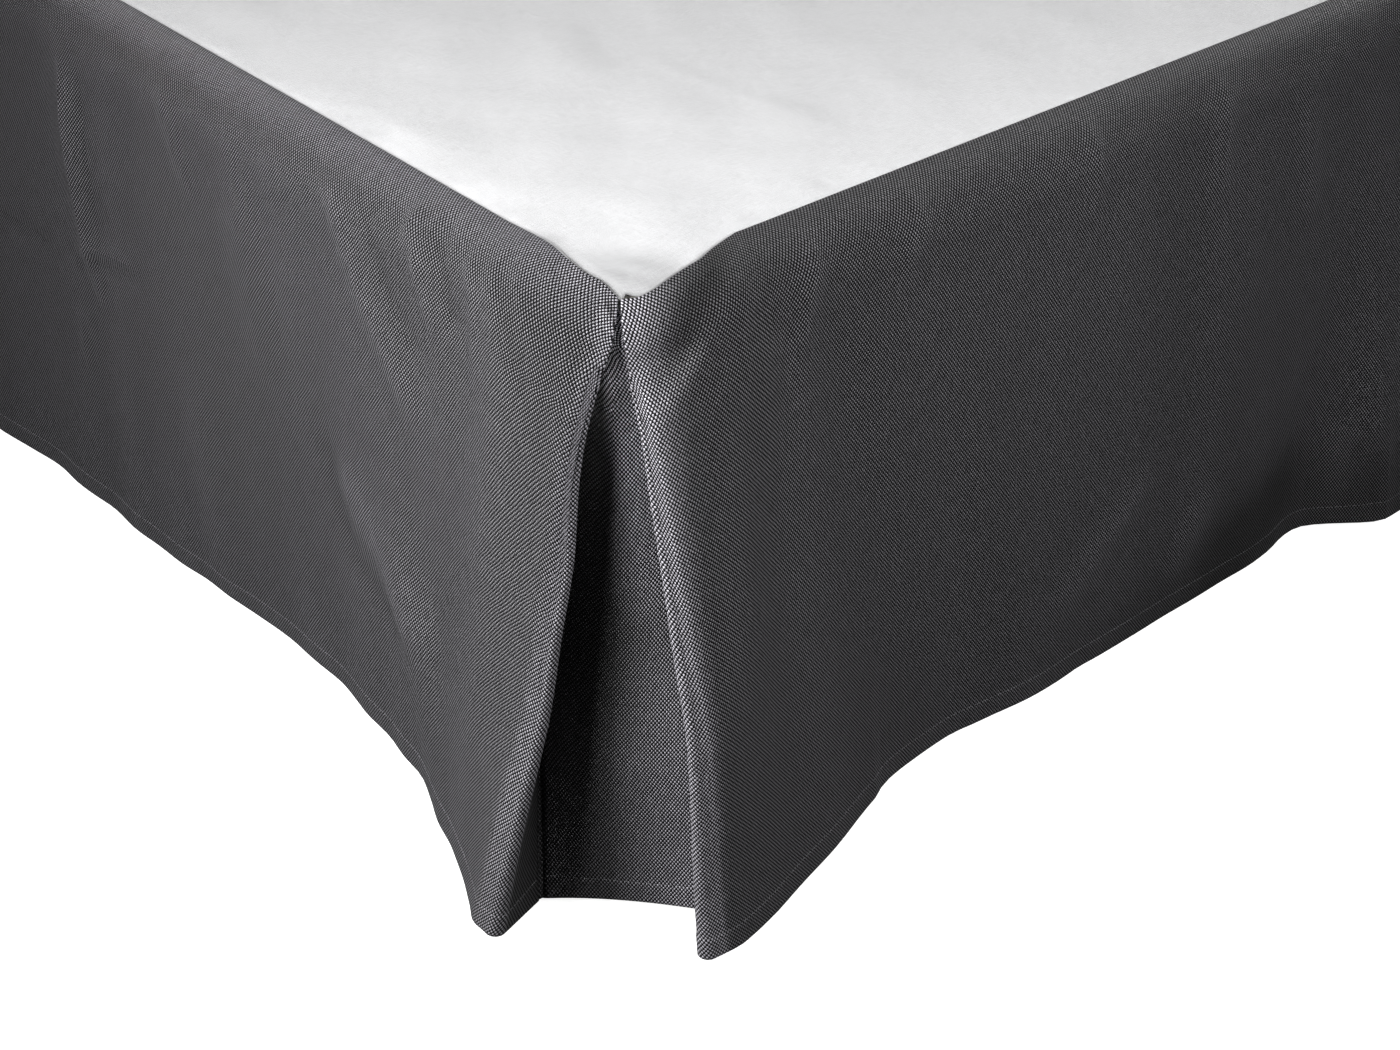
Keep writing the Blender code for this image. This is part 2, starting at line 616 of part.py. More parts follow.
def make_legs(material):
    """Six round tapered legs under the base."""
    height = BASE_UNDERSIDE - GAP
    shape = bmesh.new()
    bmesh.ops.create_cone(shape, cap_ends=True, segments=20, radius1=LEG_FOOT_RADIUS,
                          radius2=LEG_TOP_RADIUS, depth=height)
    mesh = bpy.data.meshes.new("leg")
    shape.to_mesh(mesh)
    shape.free()
    mesh.materials.append(material)
    middle_y = FOOT_FACE_Y + 0.5 * BED_LENGTH
    reach_x = 0.5 * BED_WIDTH - LEG_SIDE_INSET
    reach_y = 0.5 * BED_LENGTH - LEG_END_INSET
    rows = (("foot", -reach_y), ("middle", 0.0), ("head", reach_y))
    for place, y in rows:
        for hand, x in (("left", -reach_x), ("right", reach_x)):
            leg = bpy.data.objects.new(f"leg_{place}_{hand}", mesh)
            bpy.data.collections[COLLECTION].objects.link(leg)
            leg.location = (x, middle_y + y, 0.5 * height)


def build():
    clear_scene()
    collection = bpy.data.collections.new(COLLECTION)
    bpy.context.scene.collection.children.link(collection)
    cloth = make_material("drop")
    make_side_drop("side_drop_left", -1, cloth)
    make_side_drop("side_drop_right", 1, cloth)
    make_foot_drop(cloth)
    make_deck(make_material("deck"))
    make_base(make_material("base"))
    make_legs(make_material("leg"))


build()
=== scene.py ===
import bisect
import math

import bpy
import numpy as np
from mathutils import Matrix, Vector


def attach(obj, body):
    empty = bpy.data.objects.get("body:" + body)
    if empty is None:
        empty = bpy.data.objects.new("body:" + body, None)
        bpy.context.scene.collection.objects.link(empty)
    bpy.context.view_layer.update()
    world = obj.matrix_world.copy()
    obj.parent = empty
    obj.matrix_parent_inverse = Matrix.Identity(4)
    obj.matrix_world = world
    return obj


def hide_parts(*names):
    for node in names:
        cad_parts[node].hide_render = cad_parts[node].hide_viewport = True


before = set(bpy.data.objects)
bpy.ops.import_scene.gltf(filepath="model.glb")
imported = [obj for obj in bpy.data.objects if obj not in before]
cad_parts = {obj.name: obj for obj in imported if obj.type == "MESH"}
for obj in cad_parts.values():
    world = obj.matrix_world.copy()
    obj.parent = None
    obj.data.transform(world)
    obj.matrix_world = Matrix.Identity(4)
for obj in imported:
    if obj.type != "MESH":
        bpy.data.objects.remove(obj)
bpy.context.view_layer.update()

print("frame loaded:", len(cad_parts), "solids")


# the bed under the cloth, in metres
bed = {
    "width": 1.600, "length": 2.000, "top": 0.498, "footFace": -0.9495, "headInset": 0.003,
    "cornerRadius": 0.118, "edgeRadius": 0.038,
}
# how the cloth hangs: its drop and seam, how far its layers stand off the bed and off each
# other, and over what length the flaps ease into the plain drop
cloth = {
    "drop": 0.520, "hemHeight": 0.005, "seamInset": 0.040,
    "clearAtSeam": 0.0020, "clearAtEdge": 0.0026, "clearRun": 0.030,
    "layerStep": 0.0016, "layerClear": 0.0024, "joinStep": 0.0016,
    "flapBlend": 0.120, "driftReach": 0.450, "layerBlend": 0.060, "flare": 1.25,
    "softClear": 0.0006, "returnStep": 0.003,
}
tip = (0.044, 0.038)  # where both seams meet, in from the side face and from the foot face
# places along each seam, from the corner, that the folded layers behind a flap belong to
stations = {"side": (0.053, 0.068, 0.084, 0.100), "foot": (0.056, 0.070, 0.086, 0.102)}

# the seam near the corner: distance along the face, distance in from it
seamLine = {
    "side": ((0.038, 0.044), (0.053, 0.041), (0.068, 0.0365), (0.084, 0.036),
             (0.100, 0.0375), (0.118, 0.039), (0.145, 0.040)),
    "foot": ((0.044, 0.038), (0.056, 0.0298), (0.070, 0.0265), (0.086, 0.026),
             (0.102, 0.0265), (0.120, 0.031), (0.150, 0.040)),
}

# the two front folds where they lie on the rounded edge
topColumns = ("down", "sideAlong", "sideOut", "footAlong", "footOut")
topSections = (
    (0.000, 0.0402, 0.0000, 0.0462, 0.0000),
    (0.011, 0.0408, 0.0002, 0.0466, 0.0001),
    (0.022, 0.0420, 0.0008, 0.0474, 0.0003),
    (0.034, 0.0438, 0.0022, 0.0484, 0.0009),
    (0.046, 0.0465, 0.0045, 0.0496, 0.0018),
)

# the hanging pleat in plan, a row for each section down the cloth
pleatColumns = ("down", "sideX", "sideY", "footX", "footY", "creaseX", "creaseY",
                "backX", "backY", "middle", "fold", "bend")
pleatSections = (
    (0.065, 0.018, 0.032, 0.038, 0.019, 0.0012, 0.087, 0.088, 0.0012, 0.032, 0.0016, 0.0009),
    (0.095, 0.008, 0.032, 0.035, 0.005, 0.0010, 0.086, 0.086, 0.0010, 0.031, 0.0022, 0.0012),
    (0.140, -0.002, 0.031, 0.031, -0.009, 0.000, 0.086, 0.083, -0.001, 0.029, 0.0030, 0.0018),
    (0.200, -0.009, 0.030, 0.025, -0.030, -0.003, 0.085, 0.076, -0.006, 0.025, 0.0038, 0.0026),
    (0.265, -0.023, 0.030, 0.019, -0.051, -0.007, 0.084, 0.068, -0.022, 0.021, 0.0045, 0.0036),
    (0.330, -0.037, 0.029, 0.015, -0.070, -0.012, 0.076, 0.062, -0.037, 0.015, 0.0050, 0.0046),
    (0.395, -0.058, 0.028, 0.013, -0.077, -0.019, 0.066, 0.057, -0.043, 0.009, 0.0056, 0.0056),
    (0.460, -0.079, 0.027, 0.010, -0.084, -0.031, 0.052, 0.051, -0.048, 0.004, 0.0062, 0.0070),
    (0.520, -0.096, 0.026, 0.007, -0.094, -0.044, 0.037, 0.042, -0.053, -0.001, 0.0070, 0.0085),
)

# how far the hem stands out: distance from the corner, distance out
hemLine = {
    "side": ((0.026, 0.097), (0.045, 0.097), (0.065, 0.088), (0.095, 0.073), (0.125, 0.060),
             (0.155, 0.049), (0.185, 0.035), (0.215, 0.026), (0.245, 0.022), (0.275, 0.016),
             (0.305, 0.0135), (0.335, 0.008), (0.365, 0.0045), (0.410, 0.003), (0.485, 0.004),
             (0.545, 0.007), (0.605, 0.013), (0.680, 0.0155), (0.725, 0.0145), (0.785, 0.017),
             (0.820, 0.0145), (0.870, 0.020), (0.924, 0.027), (1.020, 0.024), (1.180, 0.013),
             (1.350, 0.021), (1.520, 0.012), (1.700, 0.020), (1.850, 0.014), (1.997, 0.018)),
    "foot": ((0.010, 0.098), (0.037, 0.100), (0.050, 0.098), (0.080, 0.0905), (0.110, 0.081),
             (0.155, 0.0665), (0.200, 0.051), (0.230, 0.040), (0.245, 0.033), (0.260, 0.029),
             (0.290, 0.025), (0.335, 0.0205), (0.365, 0.024), (0.410, 0.0265), (0.455, 0.028),
             (0.490, 0.0252), (0.545, 0.025), (0.605, 0.0228), (0.701, 0.0205), (0.740, 0.017),
             (0.775, 0.012), (0.790, 0.012), (0.800, 0.0135), (0.815, 0.020), (0.845, 0.039),
             (0.860, 0.045), (0.890, 0.053), (0.930, 0.054), (0.990, 0.034), (1.060, 0.018),
             (1.160, 0.014), (1.260, 0.022), (1.344, 0.034), (1.407, 0.051), (1.466, 0.072),
             (1.525, 0.091), (1.563, 0.098), (1.590, 0.095)),
}

# soft folds: place at the top and at the hem, half width, depth, and where they begin,
# are deepest and end as shares of the hanging length
softFolds = {
    "left": (
        (0.722, 0.700, 0.045, 0.0070, -0.10, 0.18, 0.46),
        (0.640, 0.720, 0.060, -0.0050, 0.10, 0.45, 0.85),
        (0.455, 0.400, 0.050, 0.0050, -0.05, 0.20, 0.60),
        (0.400, 0.345, 0.040, -0.0040, -0.05, 0.25, 0.65),
        (0.330, 0.175, 0.050, 0.0080, 0.25, 0.70, 1.30),
        (0.560, 0.520, 0.060, 0.0045, 0.30, 0.75, 1.30),
        (0.215, 0.190, 0.030, -0.0040, -0.05, 0.12, 0.40),
        (1.080, 1.050, 0.060, -0.0060, 0.10, 0.60, 1.40),
        (1.270, 1.300, 0.055, 0.0060, -0.05, 0.45, 1.30),
        (1.480, 1.450, 0.050, -0.0050, 0.15, 0.65, 1.40),
        (1.660, 1.640, 0.050, 0.0060, -0.05, 0.55, 1.40),
        (1.860, 1.840, 0.050, 0.0050, 0.10, 0.60, 1.40),
    ),
    "right": (
        (0.300, 0.210, 0.050, 0.0070, 0.20, 0.70, 1.30),
        (0.480, 0.430, 0.055, -0.0050, 0.05, 0.40, 1.10),
        (0.700, 0.670, 0.060, 0.0060, -0.05, 0.50, 1.30),
        (0.900, 0.930, 0.055, -0.0050, 0.10, 0.60, 1.40),
        (1.160, 1.140, 0.060, 0.0060, -0.05, 0.50, 1.30),
        (1.420, 1.440, 0.055, -0.0050, 0.10, 0.60, 1.40),
        (1.700, 1.690, 0.055, 0.0060, -0.05, 0.50, 1.30),
    ),
    "foot": (
        (0.125, 0.165, 0.035, 0.0050, -0.05, 0.10, 0.35),
        (0.200, 0.270, 0.045, -0.0040, -0.05, 0.20, 0.80),
        (0.330, 0.420, 0.060, 0.0040, -0.05, 0.55, 1.30),
        (0.650, 0.690, 0.060, 0.0050, -0.05, 0.40, 1.20),
        (0.770, 0.790, 0.045, -0.0060, 0.40, 0.80, 1.30),
        (0.850, 0.862, 0.028, 0.0060, 0.45, 0.85, 1.30),
        (1.000, 1.010, 0.055, -0.0050, 0.05, 0.55, 1.30),
        (1.150, 1.140, 0.060, 0.0060, -0.05, 0.50, 1.30),
        (1.330, 1.300, 0.050, -0.0040, -0.05, 0.35, 0.90),
        (1.440, 1.410, 0.045, 0.0050, 0.10, 0.65, 1.30),
    ),
}


def eased(share):
    share = min(max(share, 0.0), 1.0)
    return share * share * (3.0 - 2.0 * share)


def makeCurve(points):
    # a smooth curve through the points that doesn't overshoot
    xs = [p[0] for p in points]
    ys = [p[1] for p in points]
    steps = [xs[k + 1] - xs[k] for k in range(len(xs) - 1)]
    slopes = [(ys[k + 1] - ys[k]) / steps[k] for k in range(len(steps))]
    tangents = [slopes[0]]
    for k in range(1, len(slopes)):
        product = slopes[k - 1] * slopes[k]
        tangents.append(2.0 * product / (slopes[k - 1] + slopes[k]) if product > 0 else 0.0)
    tangents.append(slopes[-1])

    def at(x):
        x = min(max(x, xs[0]), xs[-1])
        k = min(bisect.bisect_right(xs, x) - 1, len(xs) - 2)
        s = (x - xs[k]) / steps[k]
        start = (1 + 2 * s) * (1 - s) ** 2 * ys[k] + s * (1 - s) ** 2 * steps[k] * tangents[k]
        end = s * s * (3 - 2 * s) * ys[k + 1] + s * s * (s - 1) * steps[k] * tangents[k + 1]
        return start + end

    return at


def columnCurves(columns, rows):
    return {name: makeCurve([(row[0], row[k]) for row in rows])
            for k, name in enumerate(columns) if k}


topAt = columnCurves(topColumns, topSections)
pleatAt = columnCurves(pleatColumns, pleatSections)
seamAt = {face: makeCurve(points) for face, points in seamLine.items()}
hemAt = {face: makeCurve(points) for face, points in hemLine.items()}
hangFrom = pleatSections[0][0]  # above this the pleat still lies on the bed's edge


def pleatPoint(name, down):
    return np.array([pleatAt[name + "X"](down), pleatAt[name + "Y"](down)])


def unit(vector):
    return vector / math.hypot(*vector)


# plan points below are measured in from the side face and from the foot face of a corner
def layerOut(layer, down):
    # how far a layer of cloth stands off the bed, counted outwards from the lowest
    rise = (cloth["clearAtEdge"] - cloth["clearAtSeam"]) * min(down / cloth["clearRun"], 1.0)
    return cloth["clearAtSeam"] + rise + cloth["layerStep"] * layer


def outlineNormal(point):
    # the way out of the bed's outline from a plan point, and how far in it lies
    corner = bed["cornerRadius"]
    if point[0] < corner and point[1] < corner:
        out = np.array([point[0] - corner, point[1] - corner])
        reach = math.hypot(*out)
        return out / reach, corner - reach
    if point[0] < point[1]:
        return np.array([-1.0, 0.0]), point[0]
    return np.array([0.0, -1.0]), point[1]


def keepClear(plan, out):
    normal, inset = outlineNormal(plan)
    return plan + normal * max(inset + out, 0.0)


def drapeAt(seam, down, out):
    # plan point, height and share of the hanging length for cloth that falls from a seam point
    radius = bed["edgeRadius"]
    normal, inset = outlineNormal(seam)
    flat = max(inset - radius, 0.0)
    first = math.asin((radius - min(inset, radius)) / radius)
    run = radius + cloth["clearAtEdge"]
    freeFrom = flat + (0.5 * math.pi - first) * run
    if down < flat:
        return seam + normal * down, bed["top"] + out, 0.0
    angle = min(first + (down - flat) / run, 0.5 * math.pi)
    centre = seam + normal * (inset - radius)
    plan = centre + normal * (radius + out) * math.sin(angle)
    height = bed["top"] - radius + (radius + out) * math.cos(angle)
    share = max((down - freeFrom) / (cloth["drop"] - freeFrom), 0.0)
    return plan, height + (cloth["hemHeight"] - height) * share, share


def seamPoint(face, along):
    inward = seamAt[face](along)
    return np.array([inward, along]) if face == "side" else np.array([along, inward])


def tipAlong(face):
    return tip[1] if face == "side" else tip[0]


def foldRelief(folds, along, share):
    # how far the soft folds stand out at a place on the drop
    total = 0.0
    for top, hem, halfWidth, depth, begins, deepest, ends in folds:
        across = abs(along - top - (hem - top) * share) / halfWidth
        if across >= 1.0:
            continue
        if share < deepest:
            down = eased((share - begins) / (deepest - begins))
        else:
            down = 1.0 - eased((share - deepest) / (ends - deepest))
        total += depth * (1.0 - eased(across)) * down
    return total


def flapLayer(face, fromCorner):
    return 2.0 * (1.0 - eased((fromCorner - stations[face][3]) / cloth["layerBlend"]))


def flapOnEdge(face, folds, along, fromCorner, down):
    # a flap's cloth where it still lies on the bed's rounded edge
    reach = (fromCorner - topAt[face + "Along"](down)) / cloth["flapBlend"]
    out = layerOut(flapLayer(face, fromCorner), down)
    out += topAt[face + "Out"](down) * (1.0 - eased(reach))
    out += foldRelief(folds, along, 0.0) * eased(down / hangFrom)
    return drapeAt(seamPoint(face, fromCorner), down, max(out, layerOut(0, down)))[:2]


def hangingPoint(face, folds, whole, seam, layer, down, sideways):
    # free-hanging cloth, flared out to the hem line
    out, along = (0, 1) if face == "side" else (1, 0)
    plan, height, share = drapeAt(seam, down, layerOut(layer, down))
    flare = share ** cloth["flare"]
    plan[out] += (-hemAt[face](whole) - plan[out]) * flare - foldRelief(folds, whole, share)
    plan[along] += (seam[along] - plan[along]) * flare + sideways
    return plan, height


def flapHanging(face, folds, whole, fromCorner, down, edge):
    # a flap's hanging cloth, drawn towards the fold at its edge
    out, along = (0, 1) if face == "side" else (1, 0)
    start = tipAlong(face)
    toward = 1.0 if whole == fromCorner else -1.0
    reach = fromCorner - start
    drift = (edge[along] - start) * (1.0 - eased(reach / cloth["driftReach"]))
    plan, height = hangingPoint(face, folds, whole + toward * drift, seamPoint(face, fromCorner),
                                flapLayer(face, fromCorner), down, drift)
    if reach < cloth["flapBlend"]:
        atEdge = hangingPoint(face, folds, whole - toward * (fromCorner - edge[along]),
                              seamPoint(face, start), 2.0, down, 0.0)[0]
        plan[out] += (edge - atEdge)[out] * (1.0 - eased(reach / cloth["flapBlend"]))
    return keepClear(plan, layerOut(flapLayer(face, fromCorner), down)), height


def turnRound(apex, wayIn, wayOut, radius, hand, steps):
    # a small arc that takes the cloth round a fold
    middle = unit(wayIn + wayOut)
    halfTurn = 0.5 * (math.pi - math.acos(min(max(float(wayIn @ wayOut), -1.0), 1.0)))
    points = []
    for k in range(steps):
        turn = math.pi - hand * halfTurn * (1.0 - 2.0 * k / (steps - 1))
        turned = np.array([middle[0] * math.cos(turn) - middle[1] * math.sin(turn),
                           middle[0] * math.sin(turn) + middle[1] * math.cos(turn)])
        points.append(apex + (middle + turned) * radius)
    return points


def panelHanging(down, steps):
    # the pleat's back panel in plan, from its crease to its far end
    crease = keepClear(pleatPoint("crease", down), layerOut(0.5, down))
    back = keepClear(pleatPoint("back", down), layerOut(0, down))
    control = 2.0 * pleatAt["middle"](down) - 0.5 * (crease + back)
    points = [crease]
    for k in range(1, steps):
        share = k / steps
        left = 1.0 - share
        plan = left * left * crease + 2.0 * share * left * control + share * share * back
        points.append(keepClear(plan, layerOut(0, down)))
    return points + [back]


def outsideOf(face, plan, alongs, outs):
    # eased, so that the cloth in front doesn't show a line where it starts to clear
    out, along = (0, 1) if face == "side" else (1, 0)
    if alongs[0] <= plan[along] <= alongs[-1]:
        limit = float(np.interp(plan[along], alongs, outs)) - cloth["layerClear"]
        over = plan[out] - limit
        soft = cloth["softClear"]
        plan[out] -= 0.5 * (over + math.sqrt(over * over + 4.0 * soft * soft)) - soft * soft / (
            abs(over) + soft)
        plan[out] = min(plan[out], limit)
    return plan


# a drop's columns and rows, finer than its solid
grid = {
    "farPitch": 0.0115, "nearPitch": 0.005, "farFrom": 0.190, "nearestStep": 0.0025,
    "foldSteps": 15, "bendSteps": 9, "returnSteps": 12, "panelSteps": 32, "guideSteps": 24,
    "endSteps": 8, "rowPitch": 0.0065, "rowGap": 0.005, "seamRows": (0.0, 0.0015, 0.0035),
    "foldRows": (-0.003, -0.001, 0.0, 0.001, 0.003, 0.008, 0.013), "lastRow": 0.0015,
    "faceColumn": 40,
}
# rows that are worked out in full, on the bed's edge and hanging; the others lie between them
edgeKeys = (0.0, 0.0055, 0.011, 0.0165, 0.022, 0.028, 0.034, 0.040, 0.046)
hangKeys = (0.065, 0.080, 0.095, 0.117, 0.140, 0.170, 0.200, 0.2325, 0.265, 0.2975, 0.330,
            0.3625, 0.395, 0.4275, 0.460, 0.490, 0.520)


def flapColumns(face, farEnd):
    nearest = stations[face][0] - grid["nearestStep"]
    farCount = round((farEnd - grid["farFrom"]) / grid["farPitch"])
    nearCount = round((grid["farFrom"] - nearest) / grid["nearPitch"])
    far = list(np.linspace(farEnd, grid["farFrom"], farCount, endpoint=False))
    return far + list(np.linspace(grid["farFrom"], nearest, nearCount + 1))


def stationAt(face, share):
    # where on its seam a share of the return or of half the panel belongs
    return float(np.interp(share, (0.0, 0.25, 0.5, 0.75, 1.0), (tipAlong(face),) + stations[face][:4]))


def flapFoldReturn(face, folds, columns, wholeOf, down):
    # one row of a flap, the fold at its edge and the return behind it
    height0 = drapeAt(np.array(tip), down, 0.0)[1]
    backShares = [(k + 1) / (grid["returnSteps"] + 1) for k in range(grid["returnSteps"])]
    if down in edgeKeys:
        row = [flapOnEdge(face, folds, wholeOf(c), c, down) for c in columns]
        for k in range(grid["foldSteps"]):
            turn = math.pi * k / (grid["foldSteps"] - 1)
            along = topAt[face + "Along"](down) - 0.5 * cloth["layerStep"] * math.sin(turn)
            out = layerOut(1.5 + 0.5 * math.cos(turn), down) + topAt[face + "Out"](down)
            row.append(drapeAt(seamPoint(face, along), down, out)[:2])
        for share in backShares:
            out = layerOut(1, down) + topAt[face + "Out"](down) * (1.0 - share)
            along = max(stationAt(face, share),
                        topAt[face + "Along"](down) + cloth["returnStep"] * share)
            row.append(drapeAt(seamPoint(face, along), down, out)[:2])
        return row
    outAxis, alongAxis = (0, 1) if face == "side" else (1, 0)
    panel = panelHanging(down, grid["guideSteps"])
    crease = panel[0] if face == "side" else panel[-1]
    apex = pleatPoint(face, down)
    nearCrease = stations[face][3]
    beside = flapHanging(face, folds, wholeOf(nearCrease), nearCrease, down, apex)[0]
    hand = 1.0 if face == "side" else -1.0
    arc = turnRound(apex, unit(beside - apex), unit(crease - apex), pleatAt["fold"](down), hand,
                    grid["foldSteps"])
    ordered = sorted((p[alongAxis], p[outAxis]) for p in panel)
    panelAlong, panelOut = zip(*ordered)
    back = []
    for share in backShares:
        plan = arc[-1] + (crease - arc[-1]) * share
        plan = outsideOf(face, plan, panelAlong, panelOut)
        back.append((plan, drapeAt(seamPoint(face, stationAt(face, share)), down, 0.0)[1]))
    ordered = sorted((p[alongAxis], p[outAxis]) for p in [arc[-1]] + [b[0] for b in back] + [crease])
    backAlong, backOut = zip(*ordered)
    flap = []
    for c in columns:
        plan, height = flapHanging(face, folds, wholeOf(c), c, down, arc[0])
        flap.append((outsideOf(face, plan, backAlong, backOut), height))
    return flap + [(plan, height0) for plan in arc] + back


def creaseAndPanel(before, down):
    # the rest of a side drop's row: the bend behind its return, then the panel
    points = []
    steps = grid["panelSteps"]
    panel = panelHanging(down, steps)
    arc = turnRound(panel[0], unit(before - panel[0]), unit(panel[1] - panel[0]),
                    pleatAt["bend"](down), -1.0, grid["bendSteps"])
    for k in range(grid["bendSteps"]):
        turn = math.pi * k / (grid["bendSteps"] - 1)
        along = stations["side"][3] + 0.5 * cloth["layerStep"] * math.sin(turn)
        out = layerOut(0.5 + 0.5 * math.cos(turn), down)
        plan, height = drapeAt(seamPoint("side", along), down, out)[:2]
        points.append((plan if down in edgeKeys else arc[k], height))
    for k in range(1, steps + 1):
        share = 2.0 * k / steps
        face, part = ("side", 1.0 - share) if share < 1.0 else ("foot", share - 1.0)
        seam = seamPoint(face, stationAt(face, part))
        plan, height = drapeAt(seam, down, layerOut(0, down))[:2]
        points.append((plan if down in edgeKeys else panel[k], height))
    return points


def hiddenEnd(previous, down):
    # where the foot drop's return is joined to the back of the side drop's panel
    plan, height = drapeAt(seamPoint("foot", stations["foot"][3]), down, layerOut(1, down))[:2]
    if down in edgeKeys:
        return plan, height
    beside, back = panelHanging(down, grid["endSteps"])[-2:]
    panel = unit(back - beside)
    outward = np.array([panel[1], -panel[0]])
    if outward @ (previous - back) < 0:
        outward = -outward
    return back + outward * cloth["joinStep"], height


def rowsOf(makeRow):
    keys = edgeKeys + hangKeys
    rows = [[(plan[0], plan[1], height) for plan, height in makeRow(down)] for down in keys]
    return np.array(keys), np.array(rows)


def finerRows(keys, rows, downs):
    # cubic between the key rows, each column by itself
    steps = np.diff(keys)
    slopes = np.diff(rows, axis=0) / steps[:, None, None]
    tangents = np.empty_like(rows)
    tangents[0] = slopes[0]
    tangents[-1] = slopes[-1]
    before = steps[:-1, None, None]
    after = steps[1:, None, None]
    tangents[1:-1] = (slopes[:-1] * after + slopes[1:] * before) / (before + after)
    place = np.clip(np.searchsorted(keys, downs, side="right") - 1, 0, len(keys) - 2)
    s = ((downs - keys[place]) / steps[place])[:, None, None]
    h = steps[place][:, None, None]
    start = (1 + 2 * s) * (1 - s) ** 2 * rows[place] + s * (1 - s) ** 2 * h * tangents[place]
    end = s * s * (3 - 2 * s) * rows[place + 1] + s * s * (s - 1) * h * tangents[place + 1]
    return start + end


def toWorld(points, side):
    world = points.copy()
    world[..., 0] = side * (0.5 * bed["width"] - points[..., 0])
    world[..., 1] = bed["footFace"] + points[..., 1]
    return world


